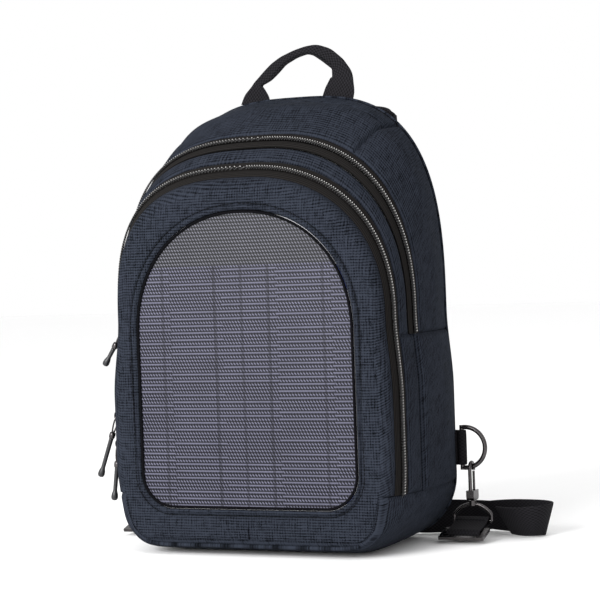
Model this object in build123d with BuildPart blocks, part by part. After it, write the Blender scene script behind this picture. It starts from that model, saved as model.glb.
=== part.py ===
"""Solar backpack: soft zipped daypack with an arch-topped solar window, rebuilt piece by piece.

Frame: millimetres, +Z up, the solar window faces -Y, +X is to the right seen from the front.
The origin lies on the flat bottom of the bag, on its centre line.
"""
import math
import os
from build123d import *

os.makedirs("parts", exist_ok=True)

# ---- driving sizes -------------------------------------------------------
FABRIC = 2.2            # outer fabric with its foam interlining
GAP = 0.3               # clearance kept between neighbouring pieces
FRONT_Y = -60.0         # outside of the front panel
BACK_Y = 55.0           # outside of the back panel
FLAP_ZIP_Y = -44.0      # centre line of the front pocket zip
MAIN_ZIP_Y = -17.0      # centre line of the main zip
ARCH_SPRING = 165.0     # height where the straight sides turn into the arch
BOAT_TOP = 42.0         # top edge of the bottom panel
POCKET_TOP = 150.0      # seam across the sides, and where the main zip ends
FRONT_ZIP_END = 45.0    # where the front pocket zip ends
TAPE = 1.2              # zip tape thickness
TAPE_RECESS = 0.6       # tape surface below the fabric surface
TAPE_HALF = 6.5         # width of each half of a zip, coil included
COIL_WIDTH = 2.2        # each coil half
COIL_GAP = 0.6          # half the slot between the two coils, where the slider's post runs
WEB = 25.0              # webbing width
WEB_T = 1.6             # webbing thickness
SEAM_Z = 9.5            # bottom seam of the front panel, the line the front folds about
WINDOW_HALF = 82.0      # half width of the solar window
WINDOW_TOP = 238.0
WINDOW_BOTTOM = 32.0
WIRE = 3.3              # wire of the rings and hooks

# stations of the bag's outline: y, half width, top, bottom, corner radius, arch exponent
STATIONS = [
    (-60.0, 102.0, 258.0, 7.0, 24.0, 2.25),
    (-50.5, 106.9, 262.5, 3.5, 28.0, 2.28),
    (-37.5, 111.3, 272.5, 1.0, 31.0, 2.34),
    (-23.5, 113.3, 284.0, 0.0, 32.0, 2.42),
    (-10.5, 114.1, 293.5, 0.0, 32.0, 2.45),
    (20.0, 114.5, 316.0, 0.0, 32.0, 2.45),
    (55.0, 109.0, 324.0, 0.0, 30.0, 2.50),
]


def outline_at(y):
    """Half width, top, bottom, corner radius and arch exponent of the bag's outline at depth y."""
    for near, far in zip(STATIONS[:-1], STATIONS[1:]):
        if y <= far[0] + 1e-6:
            share = (y - near[0]) / (far[0] - near[0])
            return [a + (b - a) * share for a, b in zip(near[1:], far[1:])]
    return list(STATIONS[-1][1:])


def arch_sketch(y, half, top, bottom, corner, power, spring=ARCH_SPRING):
    """Flat-bottomed outline with rounded lower corners, straight sides and a superellipse arch."""
    arch = []
    for step in range(1, 12):
        turn = math.pi * step / 24
        arch.append((half * math.cos(turn) ** (2 / power),
                     spring + (top - spring) * math.sin(turn) ** (2 / power)))
    knee = corner * (1 - math.sqrt(0.5))
    with BuildSketch(Plane.XZ.offset(-y)) as outline:
        with BuildLine():
            Line((0, bottom), (half - corner, bottom))
            ThreePointArc((half - corner, bottom), (half - knee, bottom + knee), (half, bottom + corner))
            Line((half, bottom + corner), (half, spring))
            Spline((half, spring), *arch, (0, top))
            mirror(about=Plane.YZ)
        make_face()
    return outline.sketch


def bag_form(start, end, inset):
    """Solid of the bag's outline between two depths, pulled in all round by the inset."""
    depths = [start] + [row[0] for row in STATIONS if start + 0.5 < row[0] < end - 0.5] + [end]
    faces = []
    for y in depths:
        half, top, bottom, corner, power = outline_at(y)
        faces.append(arch_sketch(y, half - inset, top - inset, bottom + inset, corner - inset, power))
    with BuildPart() as form:
        for face in faces:
            add(face)
        loft(ruled=True)
    return form.part


def hoop(start, end, outer, inner, low=-50.0, high=400.0, side=0):
    """Ring of the bag's wall between two depths and two heights; side +1 or -1 keeps one half."""
    outside = bag_form(start, end, outer)
    inside = bag_form(start, end, inner)
    middle = 0.0 if side == 0 else side * 200.0
    with BuildPart() as ring:
        add(outside)
        add(inside, mode=Mode.SUBTRACT)
        with Locations((middle, (start + end) / 2, (low + high) / 2)):
            Box(400, end - start + 10, high - low, mode=Mode.INTERSECT)
    return ring.part


def keep(part, label):
    """Name a finished piece and write it out."""
    part.label = label
    export_step(part, "parts/" + label + ".step")


def plan_prism(points, low, high):
    """Upright prism over a plan outline."""
    with BuildPart() as prism:
        with BuildSketch(Plane.XY.offset(low)):
            with BuildLine():
                Polyline(*points, close=True)
            make_face()
        extrude(amount=high - low)
    return prism.part


# ---- main body: bottom, sides, yoke, back --------------------------------
# bottom panel: one piece that turns up at the sides like a boat and carries the front seam
keep(hoop(FRONT_Y + FABRIC + 0.1, BACK_Y - 8.0, 0, FABRIC, high=BOAT_TOP), "bottom_panel")

# lower sides: separate panels under the cross seam, standing a little proud of the upper ones
for side, name in ((1, "right"), (-1, "left")):
    keep(hoop(MAIN_ZIP_Y + GAP, BACK_Y - 8.0, -0.8, FABRIC, BOAT_TOP + GAP, POCKET_TOP, side),
         "lower_side_" + name)

# upper part of the wall: split along the two yoke seams, which run outwards towards the back
YOKE_FRONT = 55.0
YOKE_BACK = 84.0
WALL_START = MAIN_ZIP_Y + TAPE_HALF + GAP
wall = hoop(WALL_START, BACK_Y - 8.0, 0, FABRIC, POCKET_TOP + GAP)
yoke_plan = [(-YOKE_FRONT, WALL_START - 1), (YOKE_FRONT, WALL_START - 1), (YOKE_BACK, 48), (-YOKE_BACK, 48)]
yoke_form = plan_prism(yoke_plan, 200, 400)
with BuildPart() as yoke:
    add(wall)
    add(yoke_form, mode=Mode.INTERSECT)
keep(yoke.part, "yoke")
for side, name in ((1, "right"), (-1, "left")):
    plan = [(side * (YOKE_FRONT + GAP), WALL_START - 1), (side * 160, WALL_START - 1), (side * 160, 48),
            (side * (YOKE_BACK + GAP), 48)]
    side_form = plan_prism(plan, 0, 400)
    with BuildPart() as upper_side:
        add(wall)
        add(side_form, mode=Mode.INTERSECT)
    keep(upper_side.part, "upper_side_" + name)

# back panel: padded, sewn round its edge to the wall
keep(bag_form(BACK_Y - 8.0 + GAP, BACK_Y, 0), "back_panel")
# stiffening board in a sleeve against the back
keep(bag_form(BACK_Y - 11.0, BACK_Y - 8.0, FABRIC + 4.0), "back_stiffener")
# piping along the bottom seam of the front
with BuildPart() as piping:
    with Locations((0, FRONT_Y + 0.4, SEAM_Z - 2.4)):
        Cylinder(1.5, 2 * 78.0, rotation=(0, 90, 0))
keep(piping.part, "front_seam_piping")

# ---- front section: everything in front of the main zip ------------------
keep(hoop(FLAP_ZIP_Y + TAPE_HALF + GAP, MAIN_ZIP_Y - TAPE_HALF - GAP, 0, FABRIC, POCKET_TOP + GAP),
     "middle_gusset")
for side, name in ((1, "right"), (-1, "left")):
    keep(hoop(FLAP_ZIP_Y + TAPE_HALF + GAP, MAIN_ZIP_Y - GAP, 0, FABRIC, BOAT_TOP + GAP, POCKET_TOP, side),
         "lower_gusset_" + name)
# wall between the main compartment and the front pocket
DIVIDER_T = 1.5
divider_face = arch_sketch(FLAP_ZIP_Y + 3.0, 98.0, 262.0, 14.0, 26.0, 2.3)
with BuildPart() as divider:
    add(divider_face)
    extrude(amount=DIVIDER_T, dir=(0, 1, 0))
keep(divider.part, "divider_panel")

# ---- the two zips --------------------------------------------------------
TAPE_IN = TAPE_RECESS + TAPE
COIL_OUT = -0.6
for zip_y, zip_end, name in ((MAIN_ZIP_Y, POCKET_TOP + GAP, "main"), (FLAP_ZIP_Y, FRONT_ZIP_END, "front")):
    keep(hoop(zip_y - TAPE_HALF, zip_y - COIL_GAP - COIL_WIDTH, TAPE_RECESS, TAPE_IN, zip_end),
         name + "_zip_tape_front")
    keep(hoop(zip_y - COIL_GAP - COIL_WIDTH, zip_y - COIL_GAP, COIL_OUT, TAPE_IN, zip_end),
         name + "_zip_coil_front")
    keep(hoop(zip_y + COIL_GAP, zip_y + COIL_GAP + COIL_WIDTH, COIL_OUT, TAPE_IN, zip_end),
         name + "_zip_coil_rear")
    keep(hoop(zip_y + COIL_GAP + COIL_WIDTH, zip_y + TAPE_HALF, TAPE_RECESS, TAPE_IN, zip_end),
         name + "_zip_tape_rear")

# ---- front flap: fabric face, solar window, electronics ------------------
# fabric face with the window cut out, turned back along the zip
PLATE_IN = FRONT_Y + 2.0
window = arch_sketch(FRONT_Y, WINDOW_HALF, WINDOW_TOP, WINDOW_BOTTOM, 22.0, 2.2, 160.0)
face_form = bag_form(FRONT_Y, PLATE_IN, 0)
rim = hoop(PLATE_IN, FLAP_ZIP_Y - TAPE_HALF - GAP, 0, FABRIC, FRONT_ZIP_END)
with BuildPart() as front_panel:
    add(face_form)
    with Locations((0, FRONT_Y, SEAM_Z - 20)):
        Box(400, 20, 40, mode=Mode.SUBTRACT)
    add(rim)
    with BuildSketch(Plane.XZ.offset(-FRONT_Y)):
        add(window.faces()[0].moved(Location((0, 0, 0))))
    extrude(amount=-2.0, mode=Mode.SUBTRACT)
keep(front_panel.part, "front_panel")


def window_plate(start, end, inset):
    """Plate filling the solar window between two depths, pulled in by the inset."""
    face = arch_sketch(start, WINDOW_HALF - inset, WINDOW_TOP - inset, WINDOW_BOTTOM + inset,
                       22.0 - inset, 2.2, 160.0)
    with BuildPart() as plate:
        add(face)
        extrude(amount=end - start, dir=(0, 1, 0))
    return plate.part


# solar laminate: clear film, cells, backing sheet
keep(window_plate(FRONT_Y - 0.1, FRONT_Y + 0.5, GAP), "solar_film")
CELL_W = 77.0
CELL_H = 31.0
CELL_PITCH = 32.5
CELL_LOW = 38.0
cell_limit = window_plate(FRONT_Y + 0.5, FRONT_Y + 1.0, 1.5)
with BuildPart() as cells:
    for row in range(5):
        for column in (-1, 1):
            with Locations((column * (CELL_W / 2 + 0.6), FRONT_Y + 0.75, CELL_LOW + CELL_H / 2 + row * CELL_PITCH)):
                Box(CELL_W, 0.4, CELL_H)
    add(cell_limit, mode=Mode.INTERSECT)
keep(cells.part, "solar_cells")
keep(window_plate(FRONT_Y + 1.0, PLATE_IN, GAP), "solar_backsheet")
# stitched binding round the window
outer_binding = window_plate(FRONT_Y - 0.9, FRONT_Y - 0.2, -3.2)
inner_binding = window_plate(FRONT_Y - 0.9, FRONT_Y - 0.2, 1.8)
with BuildPart() as binding:
    add(outer_binding)
    add(inner_binding, mode=Mode.SUBTRACT)
keep(binding.part, "window_binding")
# charge regulator on the back of the laminate, with its socket opening to the side
BOX_Y = PLATE_IN + GAP
with BuildPart() as regulator:
    with Locations((40, BOX_Y + 4.0, 70)):
        Box(52, 8, 34)
        fillet(regulator.edges().filter_by(Axis.Y), 4)
    with Locations((62, BOX_Y + 4.0, 70)):
        Box(20, 6.2, 13.6, mode=Mode.SUBTRACT)
keep(regulator.part, "charge_regulator")
with BuildPart() as socket:
    with Locations((59.0, BOX_Y + 4.0, 70)):
        Box(13.4, 5.6, 13.0)
    with Locations((60.5, BOX_Y + 4.0, 70)):
        Box(13.4, 4.7, 12.2, mode=Mode.SUBTRACT)
keep(socket.part, "usb_socket")

# ---- sliders and pulls, all three on the left-hand straight runs ---------
SLIDER_L = 9.0
SLIDER_W = 7.6
PULL_OUT = 5.6          # pivot's distance outside the bag's surface
for name, zip_y, height, rod, lean in (("main", MAIN_ZIP_Y, 158.0, 12.0, 22.0),
                                       ("front_upper", FLAP_ZIP_Y, 96.0, 28.0, 22.0),
                                       ("front_lower", FLAP_ZIP_Y, 76.0, 28.0, 0.0)):
    half = outline_at(zip_y)[0]
    slope = math.degrees(math.atan2(outline_at(zip_y + 5)[0] - outline_at(zip_y - 5)[0], 10))
    # plane on the bag's left surface: x outwards, z up, turned with the slope of the zip
    seat = Plane(origin=(-half, zip_y, height), x_dir=(-1, 0, 0), z_dir=(0, 0, 1)).rotated((0, 0, slope))
    with BuildPart() as slider:
        with BuildPart(seat):
            # outer plate over the coils, inner plate under the tape
            with Locations((2.6, 0, 0)):
                Box(1.4, SLIDER_W, SLIDER_L)
            with Locations((-3.1, 0, 0)):
                Box(1.2, SLIDER_W, SLIDER_L)
            # bridge that holds the pull
            with Locations((4.9, 0, -2.9), (4.9, 0, 2.9)):
                Box(4.2, 2.4, 1.4)
            with Locations((7.4, 0, 0)):
                Box(1.2, 2.4, 7.2)
        # post between the coils
        with Locations((-half + 0.3, zip_y, height)):
            Box(6.8, 0.6, 2.0)
    keep(slider.part, name + "_slider")
    # pull: crossbar in the bridge, wire link, clasp, and a rod with a swollen end
    hang = Plane(seat.origin + seat.x_dir * PULL_OUT, x_dir=seat.x_dir, z_dir=(0, 0, 1)).rotated((0, lean, 0))
    with BuildPart(hang) as pull:
        Cylinder(0.8, 5.6, rotation=(90, 0, 0))
        with Locations((0, -2.4, -7.0), (0, 2.4, -7.0)):
            Cylinder(0.7, 14.0)
        with Locations((0, 0, -15.5)):
            Cylinder(2.0, 4.0)
            Box(1.6, 6.2, 2.6)
        with Locations((0, 0, -17.5 - rod / 2)):
            Cylinder(1.5, rod)
        with Locations((0, 0, -17.5 - rod)):
            Cylinder(2.4, 5.0)
    keep(pull.part, name + "_pull")

# ---- grab handle ---------------------------------------------------------
HANDLE_Y = BACK_Y - 2.0
HANDLE_T = 4.0
with BuildPart() as handle:
    with BuildSketch(Plane.XZ.offset(-HANDLE_Y)):
        with BuildLine():
            outer = Spline((-46, 318.8), (-40, 332), (-30, 343), (-12, 354), (8, 360), (24, 358), (37, 348),
                           (44, 334), (46, 318.8))
            inner = Spline((-22, 324.6), (-25, 331), (-18, 339), (-6, 346), (8, 350), (19, 348), (27, 341),
                           (29, 332), (24, 324.6))
            Line(outer @ 0, inner @ 0)
            Line(outer @ 1, inner @ 1)
        make_face()
    extrude(amount=HANDLE_T / 2, both=True)
keep(handle.part, "grab_handle")
# seam flap that holds both feet of the handle, against the top of the back
with BuildPart() as handle_patch:
    with Locations((0, BACK_Y + 1.4, 306)):
        Box(52, 2.0, 14)
keep(handle_patch.part, "handle_patch")

# ---- shoulder straps and lower strap hardware ----------------------------
STRAP_X = 54.0
STRAP_W = 50.0
STRAP_TOP = 312.0
STRAP_Y = BACK_Y + 5.8
TAB_Y = 50.0
TAB_Z = 65.0
RING_X = 118.6
BAR = 28.6              # straight bar of the D-ring, between wire centres
HOOK_X = RING_X + 6.5
HOOK_WIRE = 2.6
HOOK_HALF = 4.3         # half the distance between the hook's back and its gate
HOOK_CROWN = 50.0       # height where the hook's back starts to curve over the D-ring
HOOK_BASE = 34.5        # top of the block that carries the gate and the swivel
BOW_TOP = 25.0
BOW_BAR = 12.5
BOW_HALF = 13.8
LOOP_REACH = 22.0       # forward reach of the webbing loop from the bow's bar to the slide buckle
for side, name in ((1, "right"), (-1, "left")):
    # sewn tab at the head of the strap
    with BuildPart() as head:
        with Locations((side * STRAP_X, BACK_Y + 1.8, STRAP_TOP - 12)):
            Box(STRAP_W, 3.0, 24)
    keep(head.part, "strap_head_" + name)
    # padded strap, tapering downwards
    with BuildPart() as strap:
        with BuildSketch(Plane.XZ.offset(-(BACK_Y + 3.8))):
            with BuildLine():
                Polyline((side * (STRAP_X - 25), STRAP_TOP), (side * (STRAP_X + 25), STRAP_TOP),
                         (side * (STRAP_X + 31), 210), (side * (STRAP_X + 27), 80),
                         (side * (STRAP_X + 1), 80), (side * (STRAP_X - 19), 210), close=True)
            make_face()
        extrude(amount=-9.0)
        fillet(strap.edges().filter_by(Axis.Y), 8)
    keep(strap.part, "shoulder_strap_" + name)
    # webbing tab in the seam of side and back, folded round the ring's bar
    with BuildPart() as tab:
        with BuildSketch(Plane.XY.offset(TAB_Z - WEB / 2)):
            with Locations((side * 114.0, TAB_Y)):
                Rectangle(6.4, 4.4)
            with Locations((side * RING_X, TAB_Y)):
                Circle(3.5)
        extrude(amount=WEB)
        with Locations((side * RING_X, TAB_Y, TAB_Z)):
            Cylinder(2.0, WEB + 2, mode=Mode.SUBTRACT)
    keep(tab.part, "ring_tab_" + name)
    # D-ring: straight bar in the tab, bow outwards
    with BuildPart() as ring:
        with BuildLine(Plane.XZ.offset(-TAB_Y)) as loop:
            bow = ThreePointArc((side * RING_X, TAB_Z - BAR / 2), (side * (RING_X + 17), TAB_Z),
                                (side * RING_X, TAB_Z + BAR / 2))
        with BuildSketch(Plane(origin=bow @ 0, z_dir=bow % 0)):
            Circle(WIRE / 2)
        sweep()
        with Locations((side * RING_X, TAB_Y, TAB_Z)):
            Cylinder(WIRE / 2, BAR + WIRE)
    keep(ring.part, "d_ring_" + name)
    # snap hook: base block, back and crown in one bent bar, open on the gate's side
    with BuildPart() as hook:
        with BuildLine(Plane.YZ.offset(side * HOOK_X)) as bend:
            back = Line((TAB_Y - HOOK_HALF, HOOK_BASE - 1), (TAB_Y - HOOK_HALF, HOOK_CROWN))
            crown = ThreePointArc(back @ 1, (TAB_Y, HOOK_CROWN + HOOK_HALF), (TAB_Y + HOOK_HALF, HOOK_CROWN))
            Line(crown @ 1, (TAB_Y + HOOK_HALF, HOOK_CROWN - 1.5))
        with BuildSketch(Plane(origin=back @ 0, z_dir=(0, 0, 1))):
            Circle(HOOK_WIRE / 2)
        sweep()
        with Locations((side * HOOK_X, TAB_Y, HOOK_BASE - 3.5)):
            Box(5.6, 11.6, 7.0)
            fillet(hook.edges().filter_by(Axis.X).group_by(Axis.Z)[0], 2.5)
        # slot for the gate's foot, and the socket of the swivel
        with Locations((side * HOOK_X, TAB_Y + HOOK_HALF + 0.6, HOOK_BASE - 0.5)):
            Box(2.6, 5.2, 5.0, mode=Mode.SUBTRACT)
        with Locations((side * HOOK_X, TAB_Y, HOOK_BASE - 6.5)):
            Cylinder(1.5, 3.0, mode=Mode.SUBTRACT)
        with Locations((side * HOOK_X, TAB_Y, HOOK_BASE - 3.6)):
            Cylinder(2.3, 3.0, mode=Mode.SUBTRACT)
    keep(hook.part, "snap_hook_" + name)
    # sprung wire gate
    with BuildPart() as gate:
        with Locations((side * HOOK_X, TAB_Y + HOOK_HALF, (HOOK_BASE + HOOK_CROWN - 2.8) / 2)):
            Cylinder(0.9, HOOK_CROWN - HOOK_BASE - 1.4)
    keep(gate.part, "hook_gate_" + name)
    # swivel: headed post, collar and bow in one piece
    with BuildPart() as bow_ring:
        with Locations((side * HOOK_X, TAB_Y, HOOK_BASE - 3.6)):
            Cylinder(1.95, 1.8)
        with Locations((side * HOOK_X, TAB_Y, HOOK_BASE - 6.2)):
            Cylinder(1.1, 5.0)
        with Locations((side * HOOK_X, TAB_Y, BOW_TOP + 0.2)):
            Cylinder(2.6, 3.6)
        with BuildLine(Plane.XZ.offset(-TAB_Y)) as bow_line:
            shoulder = BOW_BAR + 4.5
            left_leg = Line((side * HOOK_X - BOW_HALF, BOW_BAR), (side * HOOK_X - BOW_HALF, shoulder))
            top_arc = ThreePointArc(left_leg @ 1, (side * HOOK_X, BOW_TOP - 0.5),
                                    (side * HOOK_X + BOW_HALF, shoulder))
            Line(top_arc @ 1, (side * HOOK_X + BOW_HALF, BOW_BAR))
        with BuildSketch(Plane(origin=left_leg @ 0, z_dir=(0, 0, 1))):
            Circle(1.2)
        sweep(transition=Transition.ROUND)
        with Locations((side * HOOK_X, TAB_Y, BOW_BAR)):
            Cylinder(1.2, 2 * BOW_HALF + 1.0, rotation=(0, 90, 0))
    keep(bow_ring.part, "swivel_bow_" + name)
    # webbing loop: round the bow's bar, both plies forward and down to the slide buckle's middle bar
    dip = BOW_BAR - 6.2
    with BuildPart() as web_loop:
        with BuildSketch(Plane.YZ.offset(side * HOOK_X)):
            with BuildLine():
                near = (TAB_Y - LOOP_REACH, BOW_BAR - dip)
                run = math.atan2(dip, LOOP_REACH)
                lift = (-math.sin(run) * 2.4, math.cos(run) * 2.4)
                Line((TAB_Y + lift[0], BOW_BAR + lift[1]), (near[0] + lift[0], near[1] + lift[1]))
                ThreePointArc((near[0] + lift[0], near[1] + lift[1]),
                              (near[0] - math.cos(run) * 2.4, near[1] - math.sin(run) * 2.4),
                              (near[0] - lift[0], near[1] - lift[1]))
                Line((near[0] - lift[0], near[1] - lift[1]), (TAB_Y - lift[0], BOW_BAR - lift[1]))
                ThreePointArc((TAB_Y - lift[0], BOW_BAR - lift[1]),
                              (TAB_Y + math.cos(run) * 2.4, BOW_BAR + math.sin(run) * 2.4),
                              (TAB_Y + lift[0], BOW_BAR + lift[1]))
            make_face()
            offset(amount=0.7)
            with BuildLine():
                Line((TAB_Y + lift[0], BOW_BAR + lift[1]), (near[0] + lift[0], near[1] + lift[1]))
                ThreePointArc((near[0] + lift[0], near[1] + lift[1]),
                              (near[0] - math.cos(run) * 2.4, near[1] - math.sin(run) * 2.4),
                              (near[0] - lift[0], near[1] - lift[1]))
                Line((near[0] - lift[0], near[1] - lift[1]), (TAB_Y - lift[0], BOW_BAR - lift[1]))
                ThreePointArc((TAB_Y - lift[0], BOW_BAR - lift[1]),
                              (TAB_Y + math.cos(run) * 2.4, BOW_BAR + math.sin(run) * 2.4),
                              (TAB_Y + lift[0], BOW_BAR + lift[1]))
            make_face(mode=Mode.SUBTRACT)
        extrude(amount=WEB / 2 - 0.2, both=True)
    keep(web_loop.part, "strap_loop_" + name)
    # slide buckle: flat frame with a middle bar that runs inside the loop's front end
    with BuildPart() as buckle:
        tilt = math.degrees(run)
        with BuildSketch(Plane(origin=(side * HOOK_X, near[0], near[1]), x_dir=(1, 0, 0),
                               z_dir=(0, -math.sin(run), math.cos(run)))):
            Rectangle(33.0, 17.0)
            Rectangle(26.4, 11.4, mode=Mode.SUBTRACT)
            Rectangle(26.4, 2.4)
        extrude(amount=1.1, both=True)
    keep(buckle.part, "slide_buckle_" + name)
    # long webbing: down from the padded strap, standing on edge in an open loop on the ground
    with BuildPart() as webbing:
        with Locations((side * 68.0, BACK_Y + 8.4, 49.8)):
            Box(WEB, WEB_T, 59.6)
        with BuildSketch(Plane.XY):
            with BuildLine() as route:
                Spline((side * 56, 63.4), (side * 84, 64.5), (side * 118, 80), (side * 150, 82),
                       (side * 177, 72), (side * 170, 54), (side * 159, 46), (side * 150.5, 41.5))
            trace(line_width=WEB_T)
        extrude(amount=WEB)
    keep(webbing.part, "strap_webbing_" + name)
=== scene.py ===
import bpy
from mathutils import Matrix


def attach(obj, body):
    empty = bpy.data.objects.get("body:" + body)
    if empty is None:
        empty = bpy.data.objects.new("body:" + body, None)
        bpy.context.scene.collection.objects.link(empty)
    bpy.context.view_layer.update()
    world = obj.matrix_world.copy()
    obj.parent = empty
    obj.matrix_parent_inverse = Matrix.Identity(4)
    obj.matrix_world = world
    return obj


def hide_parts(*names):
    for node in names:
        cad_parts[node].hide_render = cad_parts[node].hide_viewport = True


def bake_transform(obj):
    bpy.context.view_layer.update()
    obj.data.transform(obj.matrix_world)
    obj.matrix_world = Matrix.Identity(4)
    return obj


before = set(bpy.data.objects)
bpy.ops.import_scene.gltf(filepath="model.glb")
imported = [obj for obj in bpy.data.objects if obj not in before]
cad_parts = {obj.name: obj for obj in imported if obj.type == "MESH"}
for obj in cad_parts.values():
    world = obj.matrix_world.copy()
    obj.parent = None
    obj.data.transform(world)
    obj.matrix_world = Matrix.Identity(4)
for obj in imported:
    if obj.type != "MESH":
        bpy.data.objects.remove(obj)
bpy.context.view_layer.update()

import math
import bpy
import numpy as np
from mathutils import Matrix, Vector

# ---------------------------------------------------------------------------
# Studio: a pale seamless floor and soft light, with the camera low and to the
# right of the bag, close to level with its upper half.
# ---------------------------------------------------------------------------
def linear(code):
    """sRGB hex colour turned to linear RGBA."""
    parts = [int(code[k:k + 2], 16) / 255 for k in (1, 3, 5)]
    return [c / 12.92 if c <= 0.04045 else ((c + 0.055) / 1.055) ** 2.4 for c in parts] + [1.0]


def node(tree, kind, inputs=None, links=None, **settings):
    """Adds one shader node, with its settings, fixed inputs and incoming links."""
    made = tree.nodes.new(kind)
    for key, value in settings.items():
        setattr(made, key, value)
    for key, value in (inputs or {}).items():
        made.inputs[key].default_value = value
    for key, source in (links or {}).items():
        tree.links.new(source, made.inputs[key])
    return made


def surface(name, **values):
    """New material with one Principled shader; returns the material, its tree and the shader."""
    material = bpy.data.materials.new(name)
    material.use_nodes = True
    tree = material.node_tree
    shader = tree.nodes["Principled BSDF"]
    for key, value in values.items():
        shader.inputs[key.replace("_", " ")].default_value = value
    return material, tree, shader


def mesh(name, points, faces, material, uv=None, smooth=True):
    """Object from an array of points and a list of face arrays, placed at the origin."""
    data = bpy.data.meshes.new(name)
    data.from_pydata(np.asarray(points, float).reshape(-1, 3).tolist(), [],
                     [f for block in faces for f in np.asarray(block).tolist()])
    data.update()
    if uv is not None:
        layer = data.uv_layers.new(name="cloth")
        index = np.empty(len(data.loops), np.int32)
        data.loops.foreach_get("vertex_index", index)
        layer.data.foreach_set("uv", np.asarray(uv, np.float32).reshape(-1, 2)[index].ravel())
    data.polygons.foreach_set("use_smooth", [smooth] * len(data.polygons))
    data.materials.append(material)
    made = bpy.data.objects.new(name, data)
    bpy.context.collection.objects.link(made)
    return made


def grid_faces(rows, columns, wrap_rows=False, wrap_columns=False, first=0):
    """Quads of a grid of points, row by row, closed round in either direction."""
    r = np.arange(rows if wrap_rows else rows - 1)[:, None]
    c = np.arange(columns if wrap_columns else columns - 1)[None, :]
    r2, c2 = (r + 1) % rows, (c + 1) % columns
    quads = np.stack([r * columns + c, r * columns + c2, r2 * columns + c2, r2 * columns + c], -1)
    return quads.reshape(-1, 4) + first


floor_stone, tree, shader = surface("seamless_paper", Base_Color=linear("#fcfcfc"), Roughness=0.9)
noise = node(tree, "ShaderNodeTexNoise", {"Scale": 3.0})
tree.links.new(node(tree, "ShaderNodeMapRange", {"To Min": 0.86, "To Max": 0.92},
                    {"Value": noise.outputs["Fac"]}).outputs["Result"], shader.inputs["Roughness"])
floor = mesh("floor", [(-6, -6, 0), (6, -6, 0), (6, 6, 0), (-6, 6, 0)], [[(0, 1, 2, 3)]], floor_stone)

world = bpy.data.worlds.new("studio")
bpy.context.scene.world = world
world.use_nodes = True
world.node_tree.nodes["Background"].inputs["Color"].default_value = (1.0, 1.0, 1.0, 1.0)
world.node_tree.nodes["Background"].inputs["Strength"].default_value = 1.0
bpy.context.scene.view_settings.view_transform = "Standard"


def area_light(name, place, aim, size, power):
    """Square softbox at a place, facing an aim point."""
    lamp = bpy.data.lights.new(name, "AREA")
    lamp.shape = "SQUARE"
    lamp.size = size
    lamp.energy = power
    made = bpy.data.objects.new(name, lamp)
    made.matrix_world = Matrix.Translation(place) @ (Vector(place)
                                                     - Vector(aim)).to_track_quat("Z", "Y").to_matrix().to_4x4()
    bpy.context.collection.objects.link(made)


area_light("key_softbox", (-0.55, -1.9, 0.85), (0, 0, 0.14), 1.0, 58)
area_light("top_softbox", (-0.3, -0.4, 1.8), (0, 0, 0.2), 0.9, 1.5)

AIM = Vector((0, 0, 0.165))
TURN, RISE, ROLL, REACH = math.radians(23.7), math.radians(1.6), math.radians(2.1), 1.378
back = Vector((math.sin(TURN) * math.cos(RISE), -math.cos(TURN) * math.cos(RISE), math.sin(RISE)))
right = Vector((math.cos(TURN), math.sin(TURN), 0))
up = back.cross(right)
side_vector = right * math.cos(ROLL) - up * math.sin(ROLL)
up_vector = right * math.sin(ROLL) + up * math.cos(ROLL)
camera_data = bpy.data.cameras.new("camera")
camera_data.lens = 115.8
camera_data.sensor_width = 36
camera_data.shift_x = 0.0383
camera_data.shift_y = 0.0233
camera = bpy.data.objects.new("camera", camera_data)
camera.matrix_world = Matrix.Translation(AIM + back * REACH) @ Matrix((side_vector, up_vector,
                                                                       back)).transposed().to_4x4()
bpy.context.collection.objects.link(camera)
bpy.context.scene.camera = camera

# ---------------------------------------------------------------------------
# Shell of the bag: cut-and-sewn panels of navy heather polyester over thin
# foam. Every panel is a patch of one shared form, pulled in along its seams.
# ---------------------------------------------------------------------------
# depth, half width at the spring of the arch on the right and on the left, top, bottom, corner radius, arch
# exponent right and left (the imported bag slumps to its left, so that shoulder is squarer), narrowing at the foot
FORM = np.array([
    (-0.0600, 0.0985, 0.0965, 0.2570, 0.0075, 0.013, 2.16, 2.62, 0.0100),
    (-0.0505, 0.1025, 0.1012, 0.2625, 0.0035, 0.027, 2.16, 2.85, 0.0060),
    (-0.0375, 0.1060, 0.1045, 0.2725, 0.0012, 0.036, 2.22, 3.05, 0.0030),
    (-0.0235, 0.1080, 0.1080, 0.2840, 0.0004, 0.042, 2.30, 3.05, 0.0005),
    (-0.0105, 0.1105, 0.1090, 0.2930, 0.0004, 0.045, 2.42, 3.15, 0.0),
    (0.0200, 0.1125, 0.1110, 0.3130, 0.0004, 0.047, 2.75, 3.10, 0.0),
    (0.0550, 0.1100, 0.1080, 0.3240, 0.0010, 0.046, 3.00, 3.00, 0.0)])
SPRING = 0.165
_fine = np.arange(-0.080, 0.0751, 0.0005)
_bell = np.exp(-0.5 * (np.arange(-16, 17) / 6.0) ** 2)
FORM_FINE = np.stack([np.convolve(np.pad(np.interp(_fine, FORM[:, 0], FORM[:, k]), 16, "edge"),
                                  _bell / _bell.sum(), "valid")
                      for k in range(1, 9)], 1)


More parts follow.
